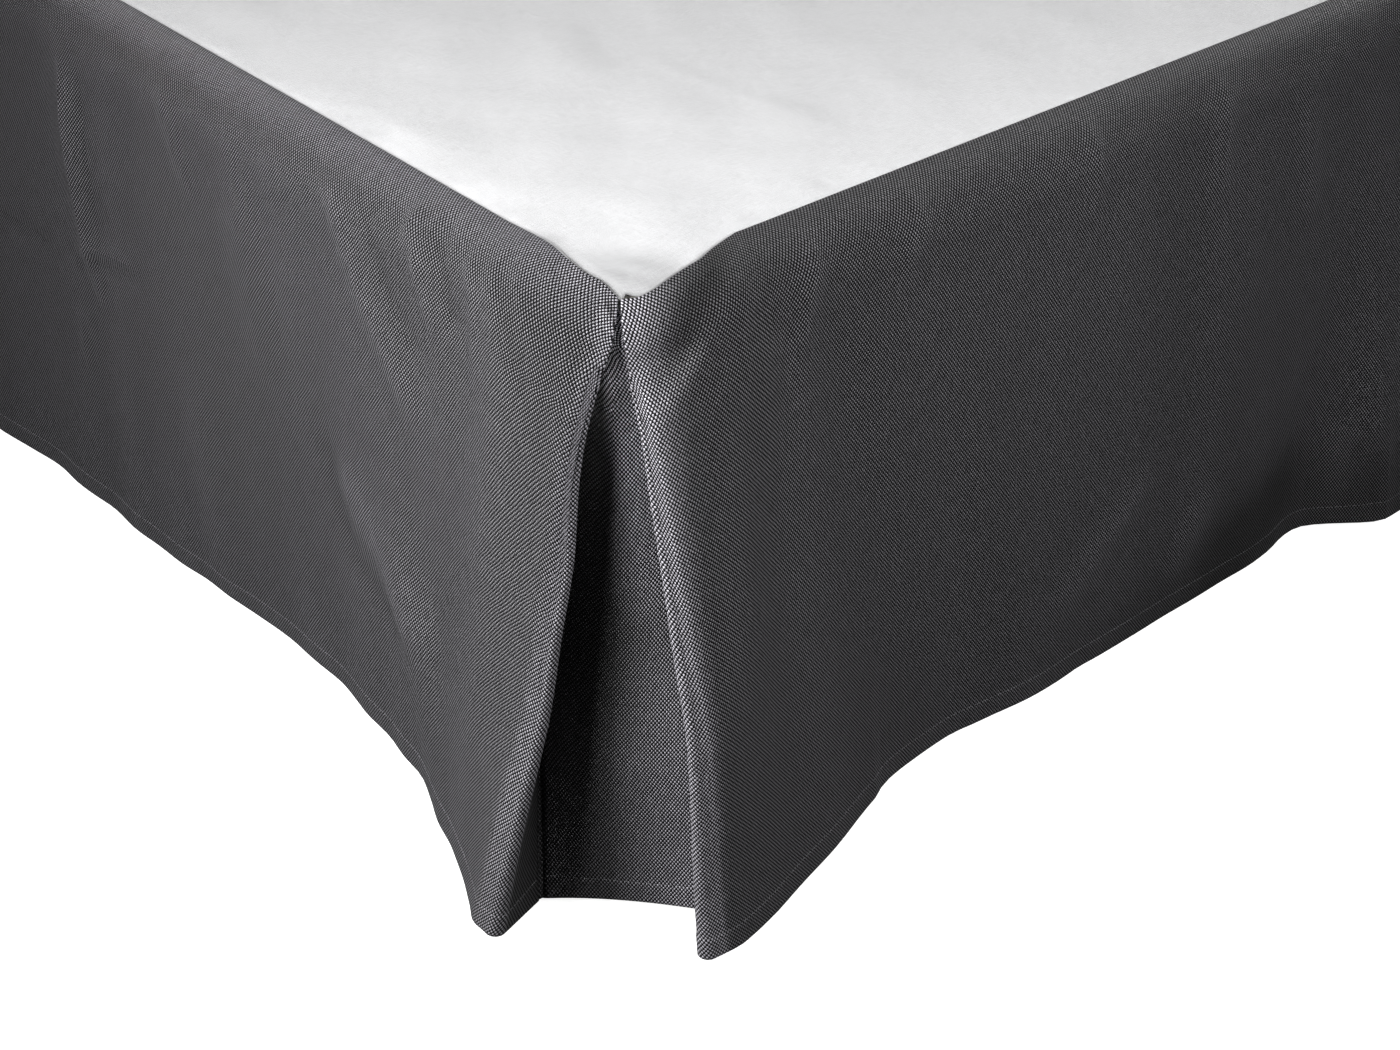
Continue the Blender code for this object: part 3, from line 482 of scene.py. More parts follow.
# each crease: from (along, down) to (along, down), half width, and how far it stands out
creases = {
    "left": (
        (0.717, 0.080, 0.718, 0.178, 0.009, 0.0050), (0.718, 0.178, 0.722, 0.256, 0.008, 0.0044),
        (0.722, 0.256, 0.702, 0.298, 0.007, 0.0034), (0.698, 0.085, 0.694, 0.235, 0.012, -0.0028),
        (0.735, 0.254, 0.635, 0.236, 0.007, 0.0024), (0.728, 0.268, 0.650, 0.252, 0.008, -0.0020),
        (0.879, 0.275, 0.787, 0.274, 0.006, -0.0020), (0.733, 0.320, 0.747, 0.372, 0.006, 0.0020),
        (0.560, 0.050, 0.533, 0.125, 0.010, 0.0026), (0.460, 0.050, 0.440, 0.250, 0.016, 0.0012),
        (0.322, 0.050, 0.284, 0.125, 0.011, 0.0036), (0.284, 0.125, 0.222, 0.195, 0.012, 0.0036),
        (0.276, 0.045, 0.256, 0.105, 0.008, -0.0030), (0.256, 0.105, 0.220, 0.140, 0.008, -0.0026),
        (0.229, 0.025, 0.197, 0.110, 0.007, 0.0036), (0.194, 0.020, 0.170, 0.100, 0.007, -0.0034),
        (0.119, 0.025, 0.093, 0.095, 0.007, -0.0030), (0.152, 0.030, 0.138, 0.120, 0.008, 0.0022),
        (0.330, 0.290, 0.268, 0.338, 0.025, 0.0056), (0.268, 0.338, 0.200, 0.390, 0.025, 0.0050),
        (0.352, 0.280, 0.327, 0.360, 0.014, -0.0030), (0.327, 0.360, 0.250, 0.408, 0.014, -0.0028),
        (0.101, 0.002, 0.088, 0.022, 0.005, 0.0018), (0.088, 0.022, 0.064, 0.058, 0.005, 0.0020),
        (0.064, 0.058, 0.058, 0.130, 0.006, 0.0018), (0.058, 0.130, 0.062, 0.273, 0.007, 0.0014),
        (0.056, 0.020, 0.041, 0.008, 0.004, -0.0014), (0.560, 0.300, 0.540, 0.500, 0.022, 0.0020),
        (0.400, 0.300, 0.385, 0.480, 0.016, -0.0016),
        (1.120, 0.060, 1.100, 0.300, 0.016, 0.0013), (1.380, 0.140, 1.350, 0.420, 0.018, -0.0012),
        (1.590, 0.070, 1.600, 0.260, 0.014, 0.0014), (1.790, 0.100, 1.775, 0.380, 0.016, 0.0011),
    ),
    "right": (
        (0.101, 0.002, 0.086, 0.024, 0.005, 0.0016), (0.086, 0.024, 0.062, 0.120, 0.006, 0.0016),
        (0.310, 0.240, 0.180, 0.515, 0.030, 0.0012), (0.420, 0.060, 0.400, 0.260, 0.014, 0.0012),
        (0.610, 0.080, 0.590, 0.300, 0.016, -0.0012), (0.850, 0.060, 0.836, 0.220, 0.012, 0.0014),
        (0.880, 0.270, 0.790, 0.262, 0.007, 0.0010), (1.050, 0.090, 1.030, 0.360, 0.018, 0.0012),
        (1.310, 0.060, 1.290, 0.250, 0.014, -0.0012), (1.560, 0.080, 1.570, 0.330, 0.016, 0.0013),
        (1.830, 0.060, 1.820, 0.260, 0.014, 0.0011),
    ),
    "foot": (
        (0.096, 0.058, 0.058, 0.088, 0.007, 0.0034), (0.136, -0.008, 0.088, 0.028, 0.012, -0.0040),
        (0.088, 0.028, 0.062, 0.070, 0.010, -0.0040),
        (0.054, 0.007, 0.070, 0.007, 0.005, 0.0030), (0.070, 0.007, 0.086, 0.009, 0.006, 0.0022),
        (0.047, 0.006, 0.051, 0.008, 0.0035, -0.0030),
        (0.140, 0.030, 0.124, 0.150, 0.014, -0.0012), (0.190, 0.040, 0.170, 0.210, 0.016, 0.0012),
        (0.867, 0.440, 0.870, 0.520, 0.010, 0.0016), (0.884, 0.325, 0.872, 0.376, 0.007, 0.0009),
        (0.816, 0.066, 0.848, 0.200, 0.020, 0.0013), (0.562, 0.366, 0.450, 0.452, 0.016, 0.0034),
        (0.645, 0.415, 0.600, 0.480, 0.014, 0.0034), (0.665, 0.472, 0.790, 0.434, 0.030, -0.0016),
        (0.823, 0.420, 0.823, 0.500, 0.012, 0.0034), (0.857, 0.450, 0.857, 0.510, 0.008, -0.0030),
        (0.191, 0.030, 0.178, 0.105, 0.009, 0.0026), (0.295, 0.030, 0.278, 0.090, 0.009, 0.0022),
        (0.478, 0.028, 0.478, 0.105, 0.010, 0.0024), (0.628, 0.038, 0.627, 0.130, 0.012, 0.0030),
        (0.730, 0.070, 0.755, 0.190, 0.012, 0.0030),
        (0.520, 0.060, 0.500, 0.240, 0.020, 0.0010), (0.600, 0.120, 0.612, 0.360, 0.022, -0.0009),
        (0.395, 0.060, 0.385, 0.200, 0.014, 0.0009), (0.245, 0.480, 0.250, 0.520, 0.008, 0.0012),
        (1.080, 0.060, 1.090, 0.260, 0.016, 0.0012), (1.250, 0.090, 1.230, 0.300, 0.016, -0.0011),
        (1.500, 0.038, 1.531, 0.065, 0.007, 0.0022), (1.476, 0.006, 1.532, 0.054, 0.009, -0.0022),
        (1.460, 0.030, 1.476, 0.150, 0.014, -0.0012), (1.390, 0.060, 1.410, 0.240, 0.018, 0.0011),
    ),
}

# painted shade where the cloth turns down, away from the light, laid out like the creases
shades = {
    "foot": ((0.500, 0.535, 0.960, 0.490, 0.060, -0.38), (0.640, 0.505, 0.795, 0.445, 0.040, -0.34),
             (0.120, 0.000, 0.082, 0.034, 0.011, -0.30), (0.082, 0.034, 0.064, 0.064, 0.009, -0.34)),
}
creaseFade = 0.25  # a crease fades over this share of its length, inside and past each end


def pressedIn(creaseRows, across, down):
    # across and down are grids of places on the cloth
    total = np.zeros_like(across)
    for a0, d0, a1, d1, halfWidth, height in creaseRows:
        run = np.array([a1 - a0, d1 - d0])
        share = ((across - a0) * run[0] + (down - d0) * run[1]) / (run @ run)
        held = np.clip(share, 0.0, 1.0)
        aside = np.hypot(across - a0 - held * run[0], down - d0 - held * run[1])
        fromEnd = np.minimum(share + creaseFade, 1.0 + creaseFade - share)
        fade = np.clip(fromEnd / (2.0 * creaseFade), 0.0, 1.0)
        total += height * np.exp(-(aside / halfWidth) ** 2) * fade * fade * (3.0 - 2.0 * fade)
    return total


def softWaves(across, down, seed, count, size, acrossRange, downRange):
    # sine waves of uneven direction and strength, added up
    rng = np.random.default_rng(seed)
    total = np.zeros_like(across)
    for k in range(count):
        turns = across * rng.uniform(*acrossRange) + down * rng.uniform(*downRange)
        total += np.sin(turns + rng.uniform(0.0, 2.0 * math.pi)) * rng.uniform(0.3, 1.0)
    return total * size / count


def gridNormals(points):
    normal = np.cross(np.gradient(points, axis=1), np.gradient(points, axis=0))
    return normal / np.maximum(np.linalg.norm(normal, axis=2, keepdims=True), 1e-12)


def outwardNormals(points, row, column, outward):
    normal = gridNormals(points)
    return normal if normal[row, column] @ np.array(outward) > 0 else -normal


# how deep the turned hem is, and the cloth's thickness above it and in it
hem = {"deep": 0.018, "thin": 0.0012, "thick": 0.0024, "step": 0.0005}


def dropDowns():
    fold = cloth["drop"] - hem["deep"]
    even = np.arange(grid["rowPitch"], fold - grid["rowGap"], grid["rowPitch"])
    aboutFold = [fold + step for step in grid["foldRows"]]
    return np.concatenate([grid["seamRows"], even, aboutFold,
                           [cloth["drop"] - grid["lastRow"], cloth["drop"]]])


downs = dropDowns()
stitchRow = int(np.argmin(np.abs(downs - cloth["drop"] + hem["deep"])))


def sheetObject(name, points, mapU, mapV, thickness, share, material, paintedShading):
    # a sheet from a grid of points, with its flat map, the painted light and shade in its colour and
    # its thickness
    rows, columns = points.shape[:2]
    first = (np.arange(rows - 1)[:, None] * columns + np.arange(columns - 1)[None, :]).ravel()
    quads = np.stack([first, first + columns, first + columns + 1, first + 1], axis=1)
    mesh = bpy.data.meshes.new(name)
    mesh.from_pydata(points.reshape(-1, 3).tolist(), [], quads.tolist())
    clothMap = mesh.uv_layers.new(name="clothMap")
    flat = np.stack([mapU.ravel(), mapV.ravel()], axis=1)[quads.ravel()]
    clothMap.data.foreach_set("uv", flat.ravel().astype(np.float32))
    spots = mesh.attributes.new("paintedShading", "FLOAT", "POINT")
    spots.data.foreach_set("value", paintedShading.ravel().astype(np.float32))
    mesh.shade_smooth()
    mesh.materials.append(material)
    piece = bpy.data.objects.new(name, mesh)
    bpy.context.scene.collection.objects.link(piece)
    group = piece.vertex_groups.new(name="thick")
    for row in range(rows):
        group.add(list(range(row * columns, (row + 1) * columns)), float(share[row]), "REPLACE")
    solid = piece.modifiers.new("thickness", "SOLIDIFY")
    solid.thickness = thickness
    solid.offset = 0.0
    solid.use_even_offset = False
    solid.vertex_group = "thick"
    return piece


def lengthsAlong(points, anchor):
    # distance along each row, counted from the anchor column
    steps = np.linalg.norm(np.diff(points, axis=1), axis=2)
    total = np.concatenate([np.zeros((len(points), 1)), np.cumsum(steps, axis=1)], axis=1)
    return total - total[:, anchor:anchor + 1]


# a drop's own soft waves, and how far a crease may press in near the bed's edge and below it,
# stand out, and fade out towards the seam
pressing = {
    "seeds": {"left": 11, "right": 23, "foot": 37}, "waves": 14, "waveSize": 0.0034,
    "acrossTurns": (18.0, 95.0), "downTurns": (-9.0, 9.0), "edgeRun": 0.090,
    "inAtEdge": -0.0016, "in": -0.0036, "out": 0.0050, "seamRun": 0.020, "lips": (0.0004, 0.00012),
}


def dress(name, points, along, weight, outward, column):
    # presses creases and soft waves into a drop, and turns down its seamed edge
    normal = outwardNormals(points, len(points) // 2, column, outward)
    acrossGrid, downGrid = np.meshgrid(along, downs)
    press = pressedIn(creases[name], acrossGrid, downGrid)
    press += softWaves(acrossGrid, downGrid, pressing["seeds"][name], pressing["waves"],
                       pressing["waveSize"], pressing["acrossTurns"], pressing["downTurns"])
    press *= weight[None, :]
    deepest = np.where(downGrid < pressing["edgeRun"], pressing["inAtEdge"], pressing["in"])
    held = np.clip(press, deepest, pressing["out"])
    held *= np.clip(downGrid / pressing["seamRun"], 0.0, 1.0)
    dressed = points + normal * held[..., None]
    for row, lip in enumerate(pressing["lips"]):
        dressed[row, :, 2] -= lip
    # painted light and shade: lighter on a raised crease, darker in a pressed one, and painted shade
    # where the cloth turns down
    tone = press * paintedShadingAmounts["perHeight"]
    tone += pressedIn(shades.get(name, ()), acrossGrid, downGrid) * weight[None, :]
    return dressed, tone


def hemShare():
    turned = downs > cloth["drop"] - hem["deep"] + hem["step"]
    return np.where(turned, 1.0, hem["thin"] / hem["thick"])


# painted light and shade in the drops' colour: a painted highlight towards a fold, round it and along
# the seam, painted shadow on the return behind the fold, painted light and shade along the creases per
# unit of height, and the darkest it may be
paintedShadingAmounts = {
    "sideTop": 2.2, "sideLow": 0.40, "sideReach": (0.012, 0.012), "footTop": 2.9, "footLow": 1.6,
    "footReach": (0.034, 0.006), "return": -0.55, "least": -0.58,
    "leftSeam": 1.9, "rightSeam": 1.0, "seamReach": 0.040, "perHeight": 55.0,
}
# painted shadow and light on the pleat's back panel: painted shadow up to one share of its width,
# rising to painted light at another, a row for each section down
panelColumns = ("down", "from", "paintedFrom", "to", "paintedTo")
panelSections = (
    (0.060, 0.43, -0.58, 0.47, 5.6),
    (0.105, 0.44, -0.58, 0.48, 5.6),
    (0.170, 0.44, -0.56, 0.61, 3.6),
    (0.233, 0.45, -0.56, 0.66, 2.0),
    (0.280, 0.49, -0.58, 0.75, 0.9),
    (0.330, 0.47, -0.56, 0.80, 1.9),
    (0.390, 0.42, -0.30, 0.83, 2.4),
    (0.450, 0.44, -0.20, 0.88, 2.4),
)


def paintedShadingOver(columns, pleatCount, face, panelCount=0):
    # one value of painted light and shade for each row and column: a painted highlight towards the
    # fold and round it, painted shadow on the return behind it, and painted shadow and light across
    # the panel
    share = (downs / cloth["drop"])[:, None]
    strength = paintedShadingAmounts[face + "Top"] + (paintedShadingAmounts[face + "Low"] - paintedShadingAmounts[face + "Top"]) * share
    reachTop, reachLow = paintedShadingAmounts[face + "Reach"]
    reach = reachTop + (reachLow - reachTop) * share
    fromFold = np.abs(np.array(columns) - columns[-1])[None, :]
    flap = strength * np.clip(1.0 - fromFold / reach, 0.0, 1.0) ** 2
    rows = dict(zip(panelColumns, np.array(panelSections).T))
    at = {name: np.interp(downs, rows["down"], rows[name])[:, None] for name in panelColumns[1:]}
    place = np.linspace(0.0, 1.0, panelCount)[None, :]
    turn = np.clip((place - at["from"]) / (at["to"] - at["from"]), 0.0, 1.0)
    panel = at["paintedFrom"] + (at["paintedTo"] - at["paintedFrom"]) * turn
    behind = np.full((len(downs), pleatCount - panelCount), paintedShadingAmounts["return"])
    return np.concatenate([flap, np.repeat(strength, grid["foldSteps"], axis=1), behind, panel],
                          axis=1)


def creaseWeight(columnCount, pleatCount):
    # creases show in full on the flap, fade round the fold and stop behind it
    roundFold = np.clip(np.linspace(1.0, -1.0, grid["foldSteps"]), 0.0, 1.0)
    return np.concatenate([np.ones(columnCount), roundFold, np.zeros(pleatCount)])


def sideDropPoints(name, side):
    columns = flapColumns("side", bed["length"] - bed["headInset"])
    folds = softFolds[name]

    def makeRow(down):
        row = flapFoldReturn("side", folds, columns, lambda along: along, down)
        return row + creaseAndPanel(row[-1][0], down)

    keys, rows = rowsOf(makeRow)
    points = toWorld(finerRows(keys, rows, downs), side)
    pleatCount = points.shape[1] - len(columns) - grid["foldSteps"]
    along = np.concatenate([columns, np.linspace(columns[-1], tip[1], grid["foldSteps"]),
                            np.full(pleatCount, tip[1])])
    weight = creaseWeight(len(columns), pleatCount)
    dressed, tone = dress(name, points, along, weight, (side, 0.0, 0.0), grid["faceColumn"])
    return dressed, paintedShadingOver(columns, pleatCount, "side", grid["panelSteps"]) + tone


def footHalfPoints(mirrored):
    columns = flapColumns("foot", 0.5 * bed["width"])

    def wholeOf(fromCorner):
        return bed["width"] - fromCorner if mirrored else fromCorner

    def makeRow(down):
        row = flapFoldReturn("foot", softFolds["foot"], columns, wholeOf, down)
        return row + [hiddenEnd(row[-1][0], down)]

    keys, rows = rowsOf(makeRow)
    pleatCount = rows.shape[1] - len(columns) - grid["foldSteps"]
    along = np.concatenate([[wholeOf(c) for c in columns],
                            np.full(grid["foldSteps"], wholeOf(columns[-1])),
                            np.full(pleatCount, wholeOf(tip[0]))])
    weight = creaseWeight(len(columns), pleatCount)
    paintedShading = paintedShadingOver(columns, pleatCount, "foot")
    return finerRows(keys, rows, downs), along, weight, paintedShading


def footDropPoints():
    left, leftAlong, leftWeight, leftPaintedShading = footHalfPoints(False)
    right, rightAlong, rightWeight, rightPaintedShading = footHalfPoints(True)
    points = np.concatenate([toWorld(left, -1)[:, ::-1], toWorld(right, 1)[:, 1:]], axis=1)
    along = np.concatenate([leftAlong[::-1], rightAlong[1:]])
    weight = np.concatenate([leftWeight[::-1], rightWeight[1:]])
    paintedShading = np.concatenate([leftPaintedShading[:, ::-1], rightPaintedShading[:, 1:]], axis=1)
    middle = left.shape[1] - 1
    dressed, tone = dress("foot", points, along, weight, (0.0, -1.0, 0.0), middle)
    return dressed, paintedShading + tone, middle


def makeDrop(name, points, paintedShading, seamShare, anchor, material):
    mapU = lengthsAlong(points, anchor)
    mapV = np.repeat(downs[:, None], points.shape[1], axis=1)
    # painted highlight along the top of the drop, where it turns over the bed's edge, and a limit to
    # how dark the painted shade may go
    nearSeam = np.clip(1.0 - downs / paintedShadingAmounts["seamReach"], 0.0, 1.0) * seamShare
    nearSeam = np.where(nearSeam > 0.0, nearSeam, -1.0)
    paintedShading = np.maximum(np.maximum(paintedShading, nearSeam[:, None]), paintedShadingAmounts["least"])
    piece = sheetObject(name, points, mapU, mapV, hem["thick"], hemShare(), material, paintedShading)
    print(name, "columns", points.shape[1], "rows", len(downs))
    return piece


def addNode(tree, kind, settings=None, **values):
    # i0, i1 and so on stand for inputs by their place, other names for inputs by their label
    node = tree.nodes.new(kind)
    for name, value in (settings or {}).items():
        setattr(node, name, value)
    for name, value in values.items():
        numbered = name[0] == "i" and name[1:].isdigit()
        socket = node.inputs[int(name[1:]) if numbered else name]
        if isinstance(value, bpy.types.NodeSocket):
            tree.links.new(value, socket)
        else:
            socket.default_value = value
    return node


def mathNode(tree, operation, first, second=None, third=None):
    node = tree.nodes.new("ShaderNodeMath")
    node.operation = operation
    for k, value in enumerate((first, second, third)):
        if value is None:
            continue
        if isinstance(value, bpy.types.NodeSocket):
            tree.links.new(value, node.inputs[k])
        else:
            node.inputs[k].default_value = value
    return node.outputs[0]


def mixColors(tree, share, first, second):
    node = tree.nodes.new("ShaderNodeMix")
    node.data_type = "RGBA"
    for place, value in ((0, share), (6, first), (7, second)):
        if isinstance(value, bpy.types.NodeSocket):
            tree.links.new(value, node.inputs[place])
        else:
            node.inputs[place].default_value = value
    return node.outputs[2]


def spread(tree, value, low, high, newLow=0.0, newHigh=1.0, smooth=False):
    node = tree.nodes.new("ShaderNodeMapRange")
    node.interpolation_type = "SMOOTHSTEP" if smooth else "LINEAR"
    tree.links.new(value, node.inputs["Value"])
    node.inputs["From Min"].default_value = low
    node.inputs["From Max"].default_value = high
    node.inputs["To Min"].default_value = newLow
    node.inputs["To Max"].default_value = newHigh
    return node.outputs["Result"]


def newGroup(name, inputs, outputs):
    tree = bpy.data.node_groups.new(name, "ShaderNodeTree")
    for label, kind, value in inputs:
        socket = tree.interface.new_socket(label, in_out="INPUT", socket_type=kind)
        if value is not None:
            socket.default_value = value
    for label, kind in outputs:
        tree.interface.new_socket(label, in_out="OUTPUT", socket_type=kind)
    return tree, tree.nodes.new("NodeGroupInput"), tree.nodes.new("NodeGroupOutput")


def plainWeaveGroup():
    # crossing yarns in plain weave: a colour, a height and a mask of the pale yarn
    tree, given, result = newGroup("plainWeave", (
        ("Map", "NodeSocketVector", None), ("Across", "NodeSocketFloat", 0.0014),
        ("Down", "NodeSocketFloat", 0.0019), ("Wobble", "NodeSocketFloat", 0.0003),
        ("Pale", "NodeSocketColor", (0.3, 0.3, 0.3, 1.0)),
        ("Dark", "NodeSocketColor", (0.02, 0.02, 0.02, 1.0)),
        ("Balance", "NodeSocketFloat", 0.0), ("Slubs", "NodeSocketFloat", 0.25),
    ), (("Color", "NodeSocketColor"), ("Height", "NodeSocketFloat"), ("Mask", "NodeSocketFloat")))
    wander = addNode(tree, "ShaderNodeTexNoise", {"noise_dimensions": "3D"},
                     Vector=given.outputs["Map"], Scale=140.0, Detail=2.0, Roughness=0.5)
    centred = addNode(tree, "ShaderNodeVectorMath", {"operation": "SUBTRACT"},
                      i0=wander.outputs["Color"], i1=(0.5, 0.5, 0.5))
    scaled = addNode(tree, "ShaderNodeVectorMath", {"operation": "SCALE"},
                     i0=centred.outputs[0], Scale=given.outputs["Wobble"])
    place = addNode(tree, "ShaderNodeVectorMath", {"operation": "ADD"},
                    i0=given.outputs["Map"], i1=scaled.outputs[0])
    apart = addNode(tree, "ShaderNodeSeparateXYZ", i0=place.outputs[0])
    waves = []
    for axis, pitch in (("X", "Across"), ("Y", "Down")):
        turns = mathNode(tree, "DIVIDE", apart.outputs[axis], given.outputs[pitch])
        waves.append(mathNode(tree, "SINE", mathNode(tree, "MULTIPLY", turns, math.pi)))
    cross = mathNode(tree, "MULTIPLY", waves[0], waves[1])
    shifted = mathNode(tree, "ADD", cross, given.outputs["Balance"])
    mask = spread(tree, shifted, -0.12, 0.28, smooth=True)
    height = mathNode(tree, "POWER", mathNode(tree, "ABSOLUTE", cross), 0.55)
    streaks = []
    for stretch in ((900.0, 60.0, 1.0), (70.0, 800.0, 1.0)):
        drawn = addNode(tree, "ShaderNodeVectorMath", {"operation": "MULTIPLY"},
                        i0=given.outputs["Map"], i1=stretch)
        streak = addNode(tree, "ShaderNodeTexNoise", {"noise_dimensions": "2D"},
                         Vector=drawn.outputs[0], Scale=1.0, Detail=2.0, Roughness=0.6)
        streaks.append(spread(tree, streak.outputs["Fac"], 0.3, 0.7, -1.0, 1.0))
    paleShade = mathNode(tree, "MULTIPLY_ADD", streaks[0], given.outputs["Slubs"], 1.0)
    darkShade = mathNode(tree, "MULTIPLY_ADD", streaks[1], given.outputs["Slubs"], 1.0)
    pale = addNode(tree, "ShaderNodeVectorMath", {"operation": "SCALE"},
                   i0=given.outputs["Pale"], Scale=paleShade)
    dark = addNode(tree, "ShaderNodeVectorMath", {"operation": "SCALE"},
                   i0=given.outputs["Dark"], Scale=darkShade)
    woven = mixColors(tree, mask, dark.outputs[0], pale.outputs[0])
    # painted shade in the gaps between the yarns
    gapShade = spread(tree, height, 0.0, 0.75, 0.35, 1.0)
    shaded = addNode(tree, "ShaderNodeVectorMath", {"operation": "SCALE"}, i0=woven, Scale=gapShade)
    tree.links.new(shaded.outputs[0], result.inputs["Color"])
    tree.links.new(height, result.inputs["Height"])
    tree.links.new(mask, result.inputs["Mask"])
    return tree


def woodGrainGroup():
    tree, given, result = newGroup("woodGrain", (
        ("Place", "NodeSocketVector", None), ("Pale", "NodeSocketColor", (0.6, 0.4, 0.2, 1.0)),
        ("Dark", "NodeSocketColor", (0.3, 0.18, 0.09, 1.0)), ("Rings", "NodeSocketFloat", 260.0),
    ), (("Color", "NodeSocketColor"), ("Height", "NodeSocketFloat")))
    drawn = addNode(tree, "ShaderNodeVectorMath", {"operation": "MULTIPLY"},
                    i0=given.outputs["Place"], i1=(1.0, 1.0, 0.06))
    bands = addNode(tree, "ShaderNodeTexWave", {"wave_type": "BANDS", "bands_direction": "X"},
                    Vector=drawn.outputs[0], Scale=given.outputs["Rings"], Distortion=6.0,
                    Detail=3.0)
    bands.inputs["Detail Scale"].default_value = 0.4
    pores = addNode(tree, "ShaderNodeTexNoise", {"noise_dimensions": "3D"},
                    Vector=drawn.outputs[0], Scale=1400.0, Detail=3.0, Roughness=0.6)
    share = mathNode(tree, "MULTIPLY_ADD", pores.outputs["Fac"], 0.5,
                     mathNode(tree, "MULTIPLY", bands.outputs["Fac"], 0.55))
    tree.links.new(mixColors(tree, share, given.outputs["Dark"], given.outputs["Pale"]),
                   result.inputs["Color"])
    tree.links.new(share, result.inputs["Height"])
    return tree


def placeGroup(material, group, links, values):
    tree = material.node_tree
    node = tree.nodes.new("ShaderNodeGroup")
    node.node_tree = group
    for name, socket in links.items():
        tree.links.new(socket, node.inputs[name])
    for name, value in values.items():
        node.inputs[name].default_value = value
    return node


def newMaterial(name, roughness):
    material = bpy.data.materials.new(name)
    material.use_nodes = True
    shader = material.node_tree.nodes["Principled BSDF"]
    shader.inputs["Roughness"].default_value = roughness
    shader.inputs["Metallic"].default_value = 0.0
    return material, material.node_tree, shader


def wovenCloth(material, weave, place, sizes):
    labels = ("Across", "Down", "Wobble", "Pale", "Dark", "Balance", "Slubs")
    return placeGroup(material, weave, {"Map": place},
                      {label: sizes[label.lower()] for label in labels})


def bumpInto(tree, shader, height, distance):
    bump = tree.nodes.new("ShaderNodeBump")
    bump.inputs["Distance"].default_value = distance
    tree.links.new(height, bump.inputs["Height"])
    tree.links.new(bump.outputs["Normal"], shader.inputs["Normal"])


# the cloths: yarn spacings, colours, finish and relief
dropCloth = {
    "across": 0.0014, "down": 0.0019, "wobble": 0.00035, "balance": -0.08, "slubs": 0.30,
    "pale": (0.088, 0.085, 0.094, 1.0), "dark": (0.0010, 0.0010, 0.0012, 1.0),
    "roughYarn": 0.46, "roughGap": 0.80, "shineYarn": 1.0, "shineGap": 0.15, "gloss": 1.46,
    "sheen": 0.01, "sheenRough": 0.45, "relief": 0.00050, "paintedLightGain": 1.35,
}
deckCloth = {
    "across": 0.00042, "down": 0.00042, "wobble": 0.00008, "balance": 0.0, "slubs": 0.10,
    "pale": (0.775, 0.775, 0.783, 1.0), "dark": (0.72, 0.72, 0.731, 1.0),
    "roughness": 0.75, "relief": 0.00006,
}
baseCloth = {
    "across": 0.0011, "down": 0.0011, "wobble": 0.0003, "balance": 0.0, "slubs": 0.25,
    "pale": (0.46, 0.44, 0.41, 1.0), "dark": (0.27, 0.255, 0.235, 1.0),
    "dust": (0.045, 0.045, 0.048, 1.0), "roughness": 0.85, "relief": 0.0003,
}


def dropMaterial(weave):
    material, tree, shader = newMaterial("charcoal weave", dropCloth["roughGap"])
    clothMap = addNode(tree, "ShaderNodeUVMap", {"uv_map": "clothMap"})
    woven = wovenCloth(material, weave, clothMap.outputs["UV"], dropCloth)
    # painted light and shade: the weave's colour is brightened by a painted highlight over the folds
    # and along the seam, and darkened by painted shadow in the pleat and painted shade in the creases
    paintedShading = addNode(tree, "ShaderNodeAttribute", {"attribute_name": "paintedShading"})
    brighter = mathNode(tree, "MULTIPLY_ADD", paintedShading.outputs["Fac"], dropCloth["paintedLightGain"], 1.0)
    shown = addNode(tree, "ShaderNodeVectorMath", {"operation": "SCALE"},
                    i0=woven.outputs["Color"], Scale=brighter)
    tree.links.new(shown.outputs[0], shader.inputs["Base Color"])
    for label, finish in (("Roughness", "rough"), ("Specular IOR Level", "shine")):
        tree.links.new(spread(tree, woven.outputs["Mask"], 0.0, 1.0, dropCloth[finish + "Gap"],
                              dropCloth[finish + "Yarn"]), shader.inputs[label])
    shader.inputs["IOR"].default_value = dropCloth["gloss"]
    shader.inputs["Sheen Weight"].default_value = dropCloth["sheen"]
    shader.inputs["Sheen Roughness"].default_value = dropCloth["sheenRough"]
    bumpInto(tree, shader, woven.outputs["Height"], dropCloth["relief"])
    return material


def deckMaterial(weave):
    material, tree, shader = newMaterial("white cotton", deckCloth["roughness"])
    clothMap = addNode(tree, "ShaderNodeUVMap", {"uv_map": "clothMap"})
    woven = wovenCloth(material, weave, clothMap.outputs["UV"], deckCloth)
    # painted shade: a little darker along creases and where the sheet turns down at the foot corners
    paintedShading = addNode(tree, "ShaderNodeAttribute", {"attribute_name": "paintedShading"})
    shown = addNode(tree, "ShaderNodeVectorMath", {"operation": "SCALE"}, i0=woven.outputs["Color"],
                    Scale=mathNode(tree, "ADD", paintedShading.outputs["Fac"], 1.0))
    tree.links.new(shown.outputs[0], shader.inputs["Base Color"])
    bumpInto(tree, shader, woven.outputs["Height"], deckCloth["relief"])
    return material


